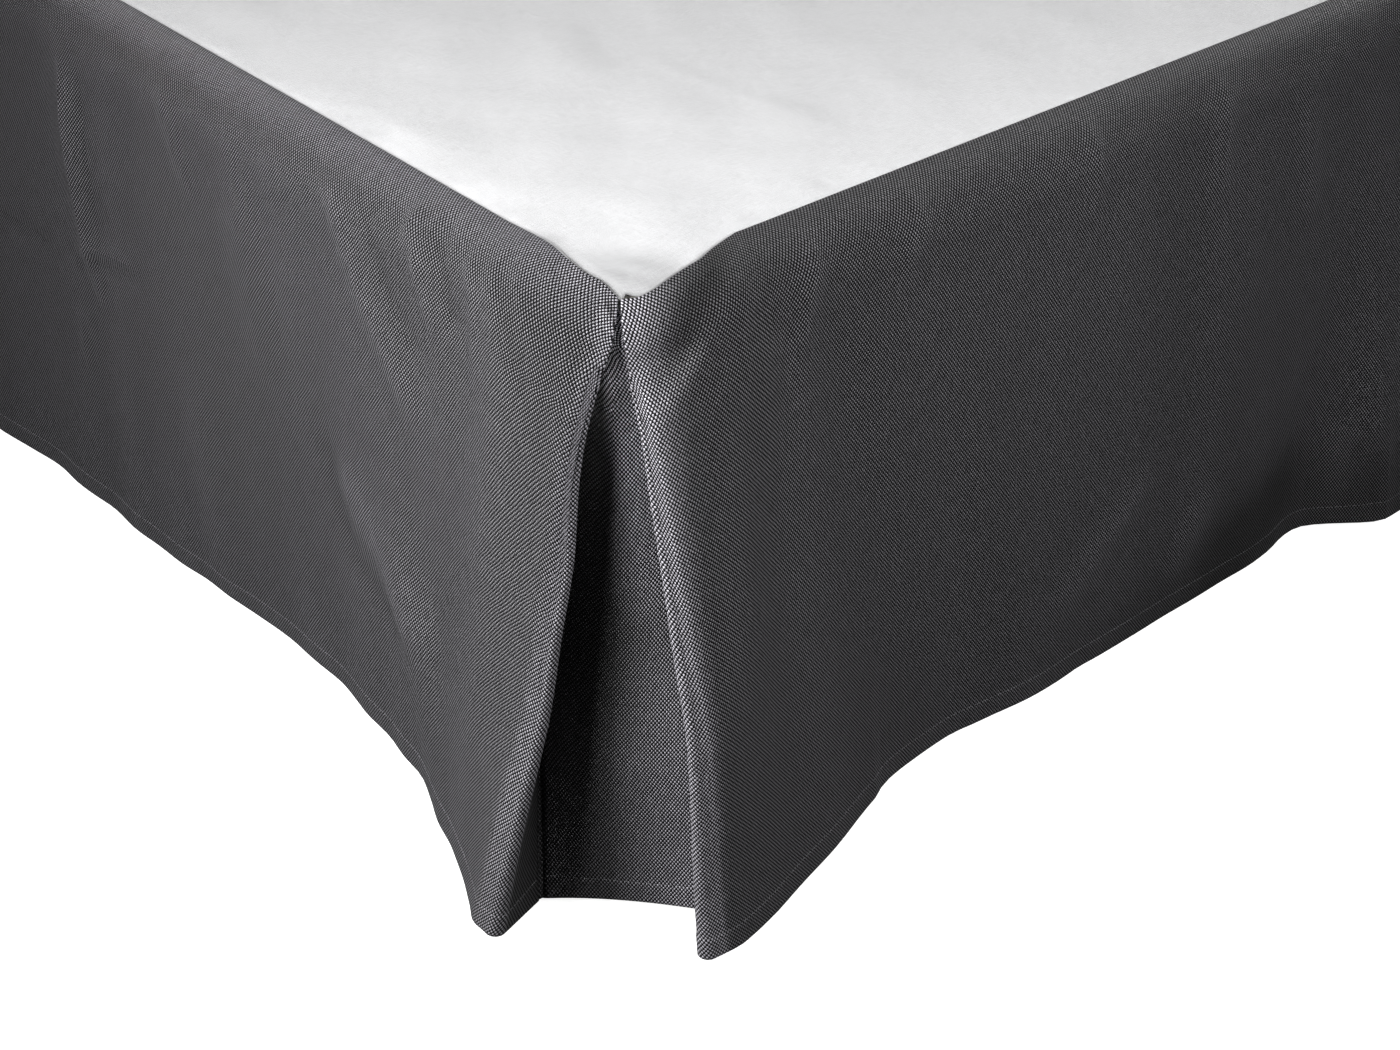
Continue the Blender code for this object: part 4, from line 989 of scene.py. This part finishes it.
def baseMaterial(weave):
    material, tree, shader = newMaterial("base cover", baseCloth["roughness"])
    place = addNode(tree, "ShaderNodeTexCoord")
    # the weave runs level and upright on the sides, so level places are laid along one line
    apart = addNode(tree, "ShaderNodeSeparateXYZ", i0=place.outputs["Object"])
    level = mathNode(tree, "ADD", apart.outputs["X"], apart.outputs["Y"])
    facing = addNode(tree, "ShaderNodeNewGeometry")
    normal = addNode(tree, "ShaderNodeSeparateXYZ", i0=facing.outputs["Normal"])
    flat = spread(tree, mathNode(tree, "ABSOLUTE", normal.outputs["Z"]), 0.69, 0.71)
    upright = addNode(tree, "ShaderNodeMix", {"data_type": "FLOAT"}, i0=flat,
                      i2=apart.outputs["Z"], i3=apart.outputs["Y"])
    sideways = addNode(tree, "ShaderNodeMix", {"data_type": "FLOAT"}, i0=flat,
                       i2=level, i3=apart.outputs["X"])
    joined = addNode(tree, "ShaderNodeCombineXYZ", i0=sideways.outputs[0], i1=upright.outputs[0])
    woven = wovenCloth(material, weave, joined.outputs[0], baseCloth)
    under = spread(tree, normal.outputs["Z"], -0.72, -0.70, 1.0, 0.0)
    color = mixColors(tree, under, woven.outputs["Color"], baseCloth["dust"])
    tree.links.new(color, shader.inputs["Base Color"])
    bumpInto(tree, shader, woven.outputs["Height"], baseCloth["relief"])
    return material


legWood = {
    "pale": (0.50, 0.32, 0.17, 1.0), "dark": (0.29, 0.165, 0.08, 1.0), "rings": 95.0,
    "roughPore": 0.55, "roughWood": 0.38, "relief": 0.00015,
}


def legMaterial(grain):
    material, tree, shader = newMaterial("oiled beech", legWood["roughPore"])
    place = addNode(tree, "ShaderNodeTexCoord")
    wood = placeGroup(material, grain, {"Place": place.outputs["Object"]}, {
        "Pale": legWood["pale"], "Dark": legWood["dark"], "Rings": legWood["rings"]})
    tree.links.new(wood.outputs["Color"], shader.inputs["Base Color"])
    tree.links.new(spread(tree, wood.outputs["Height"], 0.0, 1.0, legWood["roughPore"],
                          legWood["roughWood"]), shader.inputs["Roughness"])
    bumpInto(tree, shader, wood.outputs["Height"], legWood["relief"])
    return material


hemThread = {
    "pale": (0.19, 0.19, 0.198, 1.0), "dark": (0.085, 0.085, 0.090, 1.0), "roughness": 0.6,
    "twists": 900.0, "relief": 0.0001,
}


def threadMaterial():
    material, tree, shader = newMaterial("hem thread", hemThread["roughness"])
    place = addNode(tree, "ShaderNodeTexCoord")
    twist = addNode(tree, "ShaderNodeTexNoise", {"noise_dimensions": "3D"},
                    Vector=place.outputs["Object"], Scale=hemThread["twists"], Detail=2.0)
    color = mixColors(tree, twist.outputs["Fac"], hemThread["dark"], hemThread["pale"])
    tree.links.new(color, shader.inputs["Base Color"])
    bumpInto(tree, shader, twist.outputs["Fac"], hemThread["relief"])
    return material


# the row of stitches that holds the hem
stitch = {"pitch": 0.0043, "length": 0.0027, "shortest": 0.75, "radius": 0.00022,
          "lift": 0.0001, "seed": 5}


def stitchTree(material):
    tree = bpy.data.node_groups.new("stitchesAlongPath", "GeometryNodeTree")
    for label, kind in (("Path", "NodeSocketGeometry"), ("Pitch", "NodeSocketFloat"),
                        ("Length", "NodeSocketFloat"), ("Radius", "NodeSocketFloat")):
        tree.interface.new_socket(label, in_out="INPUT", socket_type=kind)
    tree.interface.new_socket("Stitches", in_out="OUTPUT", socket_type="NodeSocketGeometry")
    given = tree.nodes.new("NodeGroupInput")
    result = tree.nodes.new("NodeGroupOutput")
    line = addNode(tree, "GeometryNodeMeshToCurve", i0=given.outputs["Path"])
    spaced = addNode(tree, "GeometryNodeResampleCurve", {"mode": "LENGTH"},
                     Curve=line.outputs["Curve"], Length=given.outputs["Pitch"])
    one = addNode(tree, "GeometryNodeMeshUVSphere", Segments=6, Rings=5, Radius=1.0)
    tangent = tree.nodes.new("GeometryNodeInputTangent")
    turn = addNode(tree, "FunctionNodeAlignRotationToVector", {"axis": "Z"},
                   Vector=tangent.outputs[0])
    uneven = addNode(tree, "FunctionNodeRandomValue", {"data_type": "FLOAT"},
                     i2=stitch["shortest"], i3=1.0, Seed=stitch["seed"])
    halfLength = addNode(tree, "ShaderNodeMath", {"operation": "MULTIPLY"},
                         i0=given.outputs["Length"], i1=0.5)
    longer = addNode(tree, "ShaderNodeMath", {"operation": "MULTIPLY"},
                     i0=halfLength.outputs[0], i1=uneven.outputs[1])
    size = addNode(tree, "ShaderNodeCombineXYZ", i0=given.outputs["Radius"],
                   i1=given.outputs["Radius"], i2=longer.outputs[0])
    placed = addNode(tree, "GeometryNodeInstanceOnPoints", Points=spaced.outputs["Curve"],
                     Instance=one.outputs["Mesh"], Rotation=turn.outputs[0], Scale=size.outputs[0])
    real = addNode(tree, "GeometryNodeRealizeInstances", i0=placed.outputs["Instances"])
    smooth = addNode(tree, "GeometryNodeSetShadeSmooth", i0=real.outputs[0])
    painted = addNode(tree, "GeometryNodeSetMaterial", i0=smooth.outputs[0])
    painted.inputs["Material"].default_value = material
    tree.links.new(painted.outputs[0], result.inputs["Stitches"])
    return tree


def makeStitches(name, path, tree):
    line = bpy.data.meshes.new(name)
    line.from_pydata(path.tolist(), [(k, k + 1) for k in range(len(path) - 1)], [])
    maker = bpy.data.objects.new(name + "_path", line)
    bpy.context.scene.collection.objects.link(maker)
    nodes = maker.modifiers.new("stitches", "NODES")
    nodes.node_group = tree
    for item in tree.interface.items_tree:
        value = {"Pitch": stitch["pitch"], "Length": stitch["length"],
                 "Radius": stitch["radius"]}.get(item.name)
        if value is not None:
            nodes[item.identifier] = value
    graph = bpy.context.evaluated_depsgraph_get()
    mesh = bpy.data.meshes.new_from_object(maker.evaluated_get(graph))
    bpy.data.objects.remove(maker)
    mesh.name = name
    piece = bpy.data.objects.new(name, mesh)
    bpy.context.scene.collection.objects.link(piece)
    print(name, "faces", len(mesh.polygons))
    return piece


def stitchPath(points, column, outward):
    normal = outwardNormals(points, stitchRow, column, outward)
    lift = 0.5 * hem["thin"] + stitch["lift"]
    return points[stitchRow] + normal[stitchRow] * lift


# the white sheet on top of the bed
deck = {
    "gap": 0.0010, "lift": 0.0012, "tipLift": 0.0022, "pullReach": 0.110, "thickness": 0.0010,
    "tuck": 0.0035, "tuckFade": 0.008, "pitch": 0.0088, "edgePitch": 0.0045, "edgeReach": 0.10,
    "waveSeed": 19, "waves": 22, "waveSize": 0.0075, "waveTurns": (-70.0, 70.0),
    "waveIn": -0.0004, "creaseIn": -0.0006, "waveRun": 0.030, "seamRun": 0.004,
    "seamDip": 0.0005, "tipReach": 0.060, "tipTuck": 0.0016, "tipShade": 0.42,
    "tipFullFrom": 1.6, "creaseShade": 80.0,
}
# each crease: from (across, along) to (across, along), measured in from the left and foot faces
deckCreases = (
    (0.052, 0.058, 0.064, 0.041, 0.003, -0.0009), (0.064, 0.041, 0.072, 0.028, 0.003, -0.0011),
    (0.060, 0.062, 0.078, 0.036, 0.006, 0.0012), (0.049, 0.404, 0.080, 0.371, 0.004, 0.0010),
    (0.295, 0.314, 0.305, 0.225, 0.005, 0.0007), (0.305, 0.225, 0.316, 0.138, 0.005, 0.0008),
    (0.167, 0.066, 0.156, 0.044, 0.0035, 0.0012), (0.180, 0.060, 0.172, 0.044, 0.003, -0.0009),
    (0.2345, 0.0726, 0.231, 0.044, 0.0035, 0.0013), (0.246, 0.064, 0.243, 0.044, 0.003, -0.0009),
    (0.294, 0.072, 0.288, 0.044, 0.0035, 0.0012), (0.392, 0.068, 0.386, 0.044, 0.0035, 0.0013),
    (0.402, 0.062, 0.398, 0.044, 0.003, -0.0009), (0.446, 0.082, 0.440, 0.044, 0.004, 0.0013),
)


# short uneven strokes square to the seams, all round
pucker = {
    "seed": 3, "from": 0.044, "ends": 0.12, "footStart": 0.50, "reach": (0.012, 0.040),
    "slant": 0.010, "width": (0.003, 0.006), "height": (0.0005, 0.0012),
    "apart": (0.022, 0.085),
}


def deckPuckers():
    rng = np.random.default_rng(pucker["seed"])
    rows = []
    for seam, run in (("left", bed["length"]), ("right", bed["length"]), ("foot", bed["width"])):
        place = pucker["footStart"] if seam == "foot" else pucker["ends"]
        while place < run - pucker["ends"]:
            reach = rng.uniform(*pucker["reach"])
            slant = rng.uniform(-pucker["slant"], pucker["slant"])
            width = rng.uniform(*pucker["width"])
            height = rng.uniform(*pucker["height"]) * rng.choice((-1.0, 1.0, 1.0))
            ends = ((pucker["from"], place), (pucker["from"] + reach, place + slant))
            if seam == "right":
                ends = tuple((bed["width"] - inward, at) for inward, at in ends)
            if seam == "foot":
                ends = tuple((at, inward) for inward, at in ends)
            rows.append((*ends[0], *ends[1], width, height))
            place += rng.uniform(*pucker["apart"])
    return tuple(rows)


def deckPoint(across, along):
    plan = np.array([across, along])
    tuck = deck["tuck"] * min(math.dist(plan, tip) / deck["tuckFade"], 1.0)
    plan = np.maximum(plan, cloth["seamInset"] - tuck)
    sideSeam = seamAt["side"](along) + deck["gap"]
    footSeam = seamAt["foot"](across) + deck["gap"]
    inset = cloth["seamInset"]
    plan[0] += (sideSeam - inset) * (1.0 - eased((across - inset) / deck["pullReach"]))
    plan[1] += (footSeam - inset) * (1.0 - eased((along - inset) / deck["pullReach"]))
    nearTip = 1.0 - eased(math.dist((across, along), tip) / deck["pullReach"])
    place, height = drapeAt(plan, 0.0, deck["lift"] + deck["tipLift"] * nearTip)[:2]
    return place[0], place[1], height


def deckLines(farEnd):
    inset = cloth["seamInset"]
    reach = inset + deck["edgeReach"]
    near = np.linspace(inset, reach, round(deck["edgeReach"] / deck["edgePitch"]), endpoint=False)
    far = np.linspace(reach, farEnd, round((farEnd - reach) / deck["pitch"]) + 1)
    return np.concatenate([[inset - deck["tuck"]], near, far])


def makeDeck(material):
    across = deckLines(0.5 * bed["width"])
    along = deckLines(bed["length"] - bed["headInset"])
    half = np.array([[deckPoint(a, b) for a in across] for b in along])
    points = np.concatenate([toWorld(half, -1), toWorld(half, 1)[:, -2::-1]], axis=1)
    fullAcross = np.concatenate([across, bed["width"] - across[-2::-1]])
    acrossGrid, alongGrid = np.meshgrid(fullAcross, along)
    press = pressedIn(deckCreases + deckPuckers(), acrossGrid, alongGrid)
    waves = softWaves(acrossGrid, alongGrid, deck["waveSeed"], deck["waves"], deck["waveSize"],
                      deck["waveTurns"], deck["waveTurns"])
    fromSide = np.minimum(acrossGrid, bed["width"] - acrossGrid)
    fromSeam = np.minimum(fromSide, alongGrid) - cloth["seamInset"]
    waves *= np.clip(fromSeam / deck["waveRun"], 0.0, 1.0)
    lift = np.maximum(press, deck["creaseIn"]) + np.maximum(waves, deck["waveIn"])
    offSeam = np.clip(fromSeam / deck["seamRun"], 0.0, 1.0)
    points[..., 2] += lift * offSeam - deck["seamDip"] * (1.0 - offSeam)
    # the tip is tucked in behind the pleat
    fromTip = np.hypot(fromSide - tip[0], alongGrid - tip[1])
    nearTip = np.clip(1.0 - fromTip / deck["tipReach"], 0.0, 1.0)
    points[..., 2] -= deck["tipTuck"] * nearTip * (fromSeam < -0.5 * deck["tuck"])
    share = np.ones(len(along))
    # painted shade in the crease troughs and round the tucked tip
    shown = np.minimum(press, 0.0) * deck["creaseShade"]
    shown -= deck["tipShade"] * np.minimum(nearTip * deck["tipFullFrom"], 1.0)
    piece = sheetObject("deck_sheet", points, acrossGrid, alongGrid, deck["thickness"], share,
                        material, shown)
    print("deck_sheet columns", len(fullAcross), "rows", len(along))
    return piece


studio = {
    "floorSeen": (0.50, 0.50, 0.50, 1.0), "floorBounce": (0.13, 0.13, 0.13, 1.0),
    "floorGlow": 0.90, "floorRough": 0.9, "floorReach": 9.0, "skySeen": 0.95, "skyLight": 0.015,
}
# each light: where it stands, what it faces, its width, its power and how wide it spreads
lights = {
    "key": ((-1.770, -0.595, 0.799), (-0.87, -0.98, 0.30), 0.64, 22.8, 130.0),
    "overhead": ((0.30, 0.35, 1.90), (0.20, 0.20, 0.50), 1.2, 9.5, 150.0),
    "front": ((-0.36, -1.92, 1.00), (-0.50, -0.95, 0.32), 0.5, 10.0, 130.0),
    # these reach the sides that face away from the camera
    "far left": ((-2.20, 1.30, 1.05), (-0.80, 1.05, 0.30), 0.7, 7.0, 60.0),
    "far foot": ((1.35, -2.20, 1.10), (0.95, -0.90, 0.30), 0.5, 3.6, 56.0),
    "right": ((2.60, 0.20, 1.50), (0.80, 0.00, 0.30), 1.4, 24.0, 150.0),
    "head": ((0.10, 2.90, 1.50), (0.00, 1.00, 0.35), 1.4, 20.0, 150.0),
}


def makeStage():
    # the floor looks pale, and throws little light up at the dark cloth
    material, tree, shader = newMaterial("studio floor", studio["floorRough"])
    path = tree.nodes.new("ShaderNodeLightPath")
    seen = path.outputs["Is Camera Ray"]
    tree.links.new(mixColors(tree, seen, studio["floorBounce"], studio["floorSeen"]),
                   shader.inputs["Base Color"])
    shader.inputs["Emission Color"].default_value = (1.0, 1.0, 1.0, 1.0)
    tree.links.new(spread(tree, seen, 0.0, 1.0, 0.0, studio["floorGlow"]),
                   shader.inputs["Emission Strength"])
    floorMesh = bpy.data.meshes.new("studio_floor")
    reach = studio["floorReach"]
    floorMesh.from_pydata([(-reach, -reach, 0.0), (reach, -reach, 0.0), (reach, reach, 0.0),
                           (-reach, reach, 0.0)], [], [(0, 1, 2, 3)])
    floorMesh.materials.append(material)
    floor = bpy.data.objects.new("studio_floor", floorMesh)
    bpy.context.scene.collection.objects.link(floor)


def addAreaLight(name, place, target, size, power, spreadAngle):
    light = bpy.data.lights.new(name, "AREA")
    light.shape = "SQUARE"
    light.size = size
    light.energy = power
    light.spread = math.radians(spreadAngle)
    lamp = bpy.data.objects.new(name, light)
    lamp.location = place
    lamp.rotation_euler = (Vector(target) - Vector(place)).to_track_quat("-Z", "Y").to_euler()
    lamp.visible_camera = False
    bpy.context.scene.collection.objects.link(lamp)


def makeLight():
    for name, values in lights.items():
        addAreaLight(name, *values)
    world = bpy.data.worlds.new("studio")
    world.use_nodes = True
    sky = world.node_tree
    seen = sky.nodes.new("ShaderNodeLightPath").outputs["Is Camera Ray"]
    sky.links.new(spread(sky, seen, 0.0, 1.0, studio["skyLight"], studio["skySeen"]),
                  sky.nodes["Background"].inputs["Strength"])
    sky.nodes["Background"].inputs["Color"].default_value = (1.0, 1.0, 1.0, 1.0)
    bpy.context.scene.world = world
    bpy.context.scene.view_settings.view_transform = "Standard"


# turned to the right and tilted down, in degrees
camera = {
    "place": (-1.71738, -2.12149, 1.31868), "turn": 40.481, "tilt": 33.302, "lens": 66.857,
    "sensor": 36.0, "nearest": 0.05, "farthest": 60.0,
}


def makeCamera():
    lens = bpy.data.cameras.new("camera")
    lens.sensor_width = camera["sensor"]
    lens.lens = camera["lens"]
    lens.clip_start = camera["nearest"]
    lens.clip_end = camera["farthest"]
    eye = bpy.data.objects.new("camera", lens)
    eye.location = camera["place"]
    eye.rotation_euler = (math.radians(90.0 - camera["tilt"]), 0.0, -math.radians(camera["turn"]))
    bpy.context.scene.collection.objects.link(eye)
    bpy.context.scene.camera = eye


makeCamera()
makeLight()
makeStage()

weave = plainWeaveGroup()
grain = woodGrainGroup()
charcoal = dropMaterial(weave)
cotton = deckMaterial(weave)
thread = threadMaterial()
cover = baseMaterial(weave)
beech = legMaterial(grain)
print("materials made")

leftPoints, leftPaintedShading = sideDropPoints("left", -1)
rightPoints, rightPaintedShading = sideDropPoints("right", 1)
footPoints, footPaintedShading, footMiddle = footDropPoints()
leftDrop = makeDrop("drop_left", leftPoints, leftPaintedShading, paintedShadingAmounts["leftSeam"], 0, charcoal)
rightDrop = makeDrop("drop_right", rightPoints, rightPaintedShading, paintedShadingAmounts["rightSeam"], 0, charcoal)
footDrop = makeDrop("drop_foot", footPoints, footPaintedShading, 0.0, footMiddle, charcoal)
deckSheet = makeDeck(cotton)
print("cloth made")

stitches = stitchTree(thread)
leftPath = stitchPath(leftPoints, grid["faceColumn"], (-1.0, 0.0, 0.0))
rightPath = stitchPath(rightPoints, grid["faceColumn"], (1.0, 0.0, 0.0))
footPath = stitchPath(footPoints, footMiddle, (0.0, -1.0, 0.0))
leftStitches = makeStitches("hem_stitches_left", leftPath, stitches)
rightStitches = makeStitches("hem_stitches_right", rightPath, stitches)
footStitches = makeStitches("hem_stitches_foot", footPath, stitches)
print("stitches made")

for node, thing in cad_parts.items():
    if node == "bed_base" or node.startswith("leg_"):
        thing.data.materials.clear()
        thing.data.materials.append(cover if node == "bed_base" else beech)

# what a maker would cut, laid flat: length along the seam, height with its hem
flatSide = (2.20, 0.538)
flatFoot = (1.66, 0.538)
for piece, node, sewn, flat in (
        (leftDrop, "side_drop_left", leftStitches, flatSide),
        (rightDrop, "side_drop_right", rightStitches, flatSide),
        (footDrop, "foot_drop", footStitches, flatFoot)):
    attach(piece, "root")
    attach(sewn, "root")
    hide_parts(node)
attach(deckSheet, "root")
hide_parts("deck")
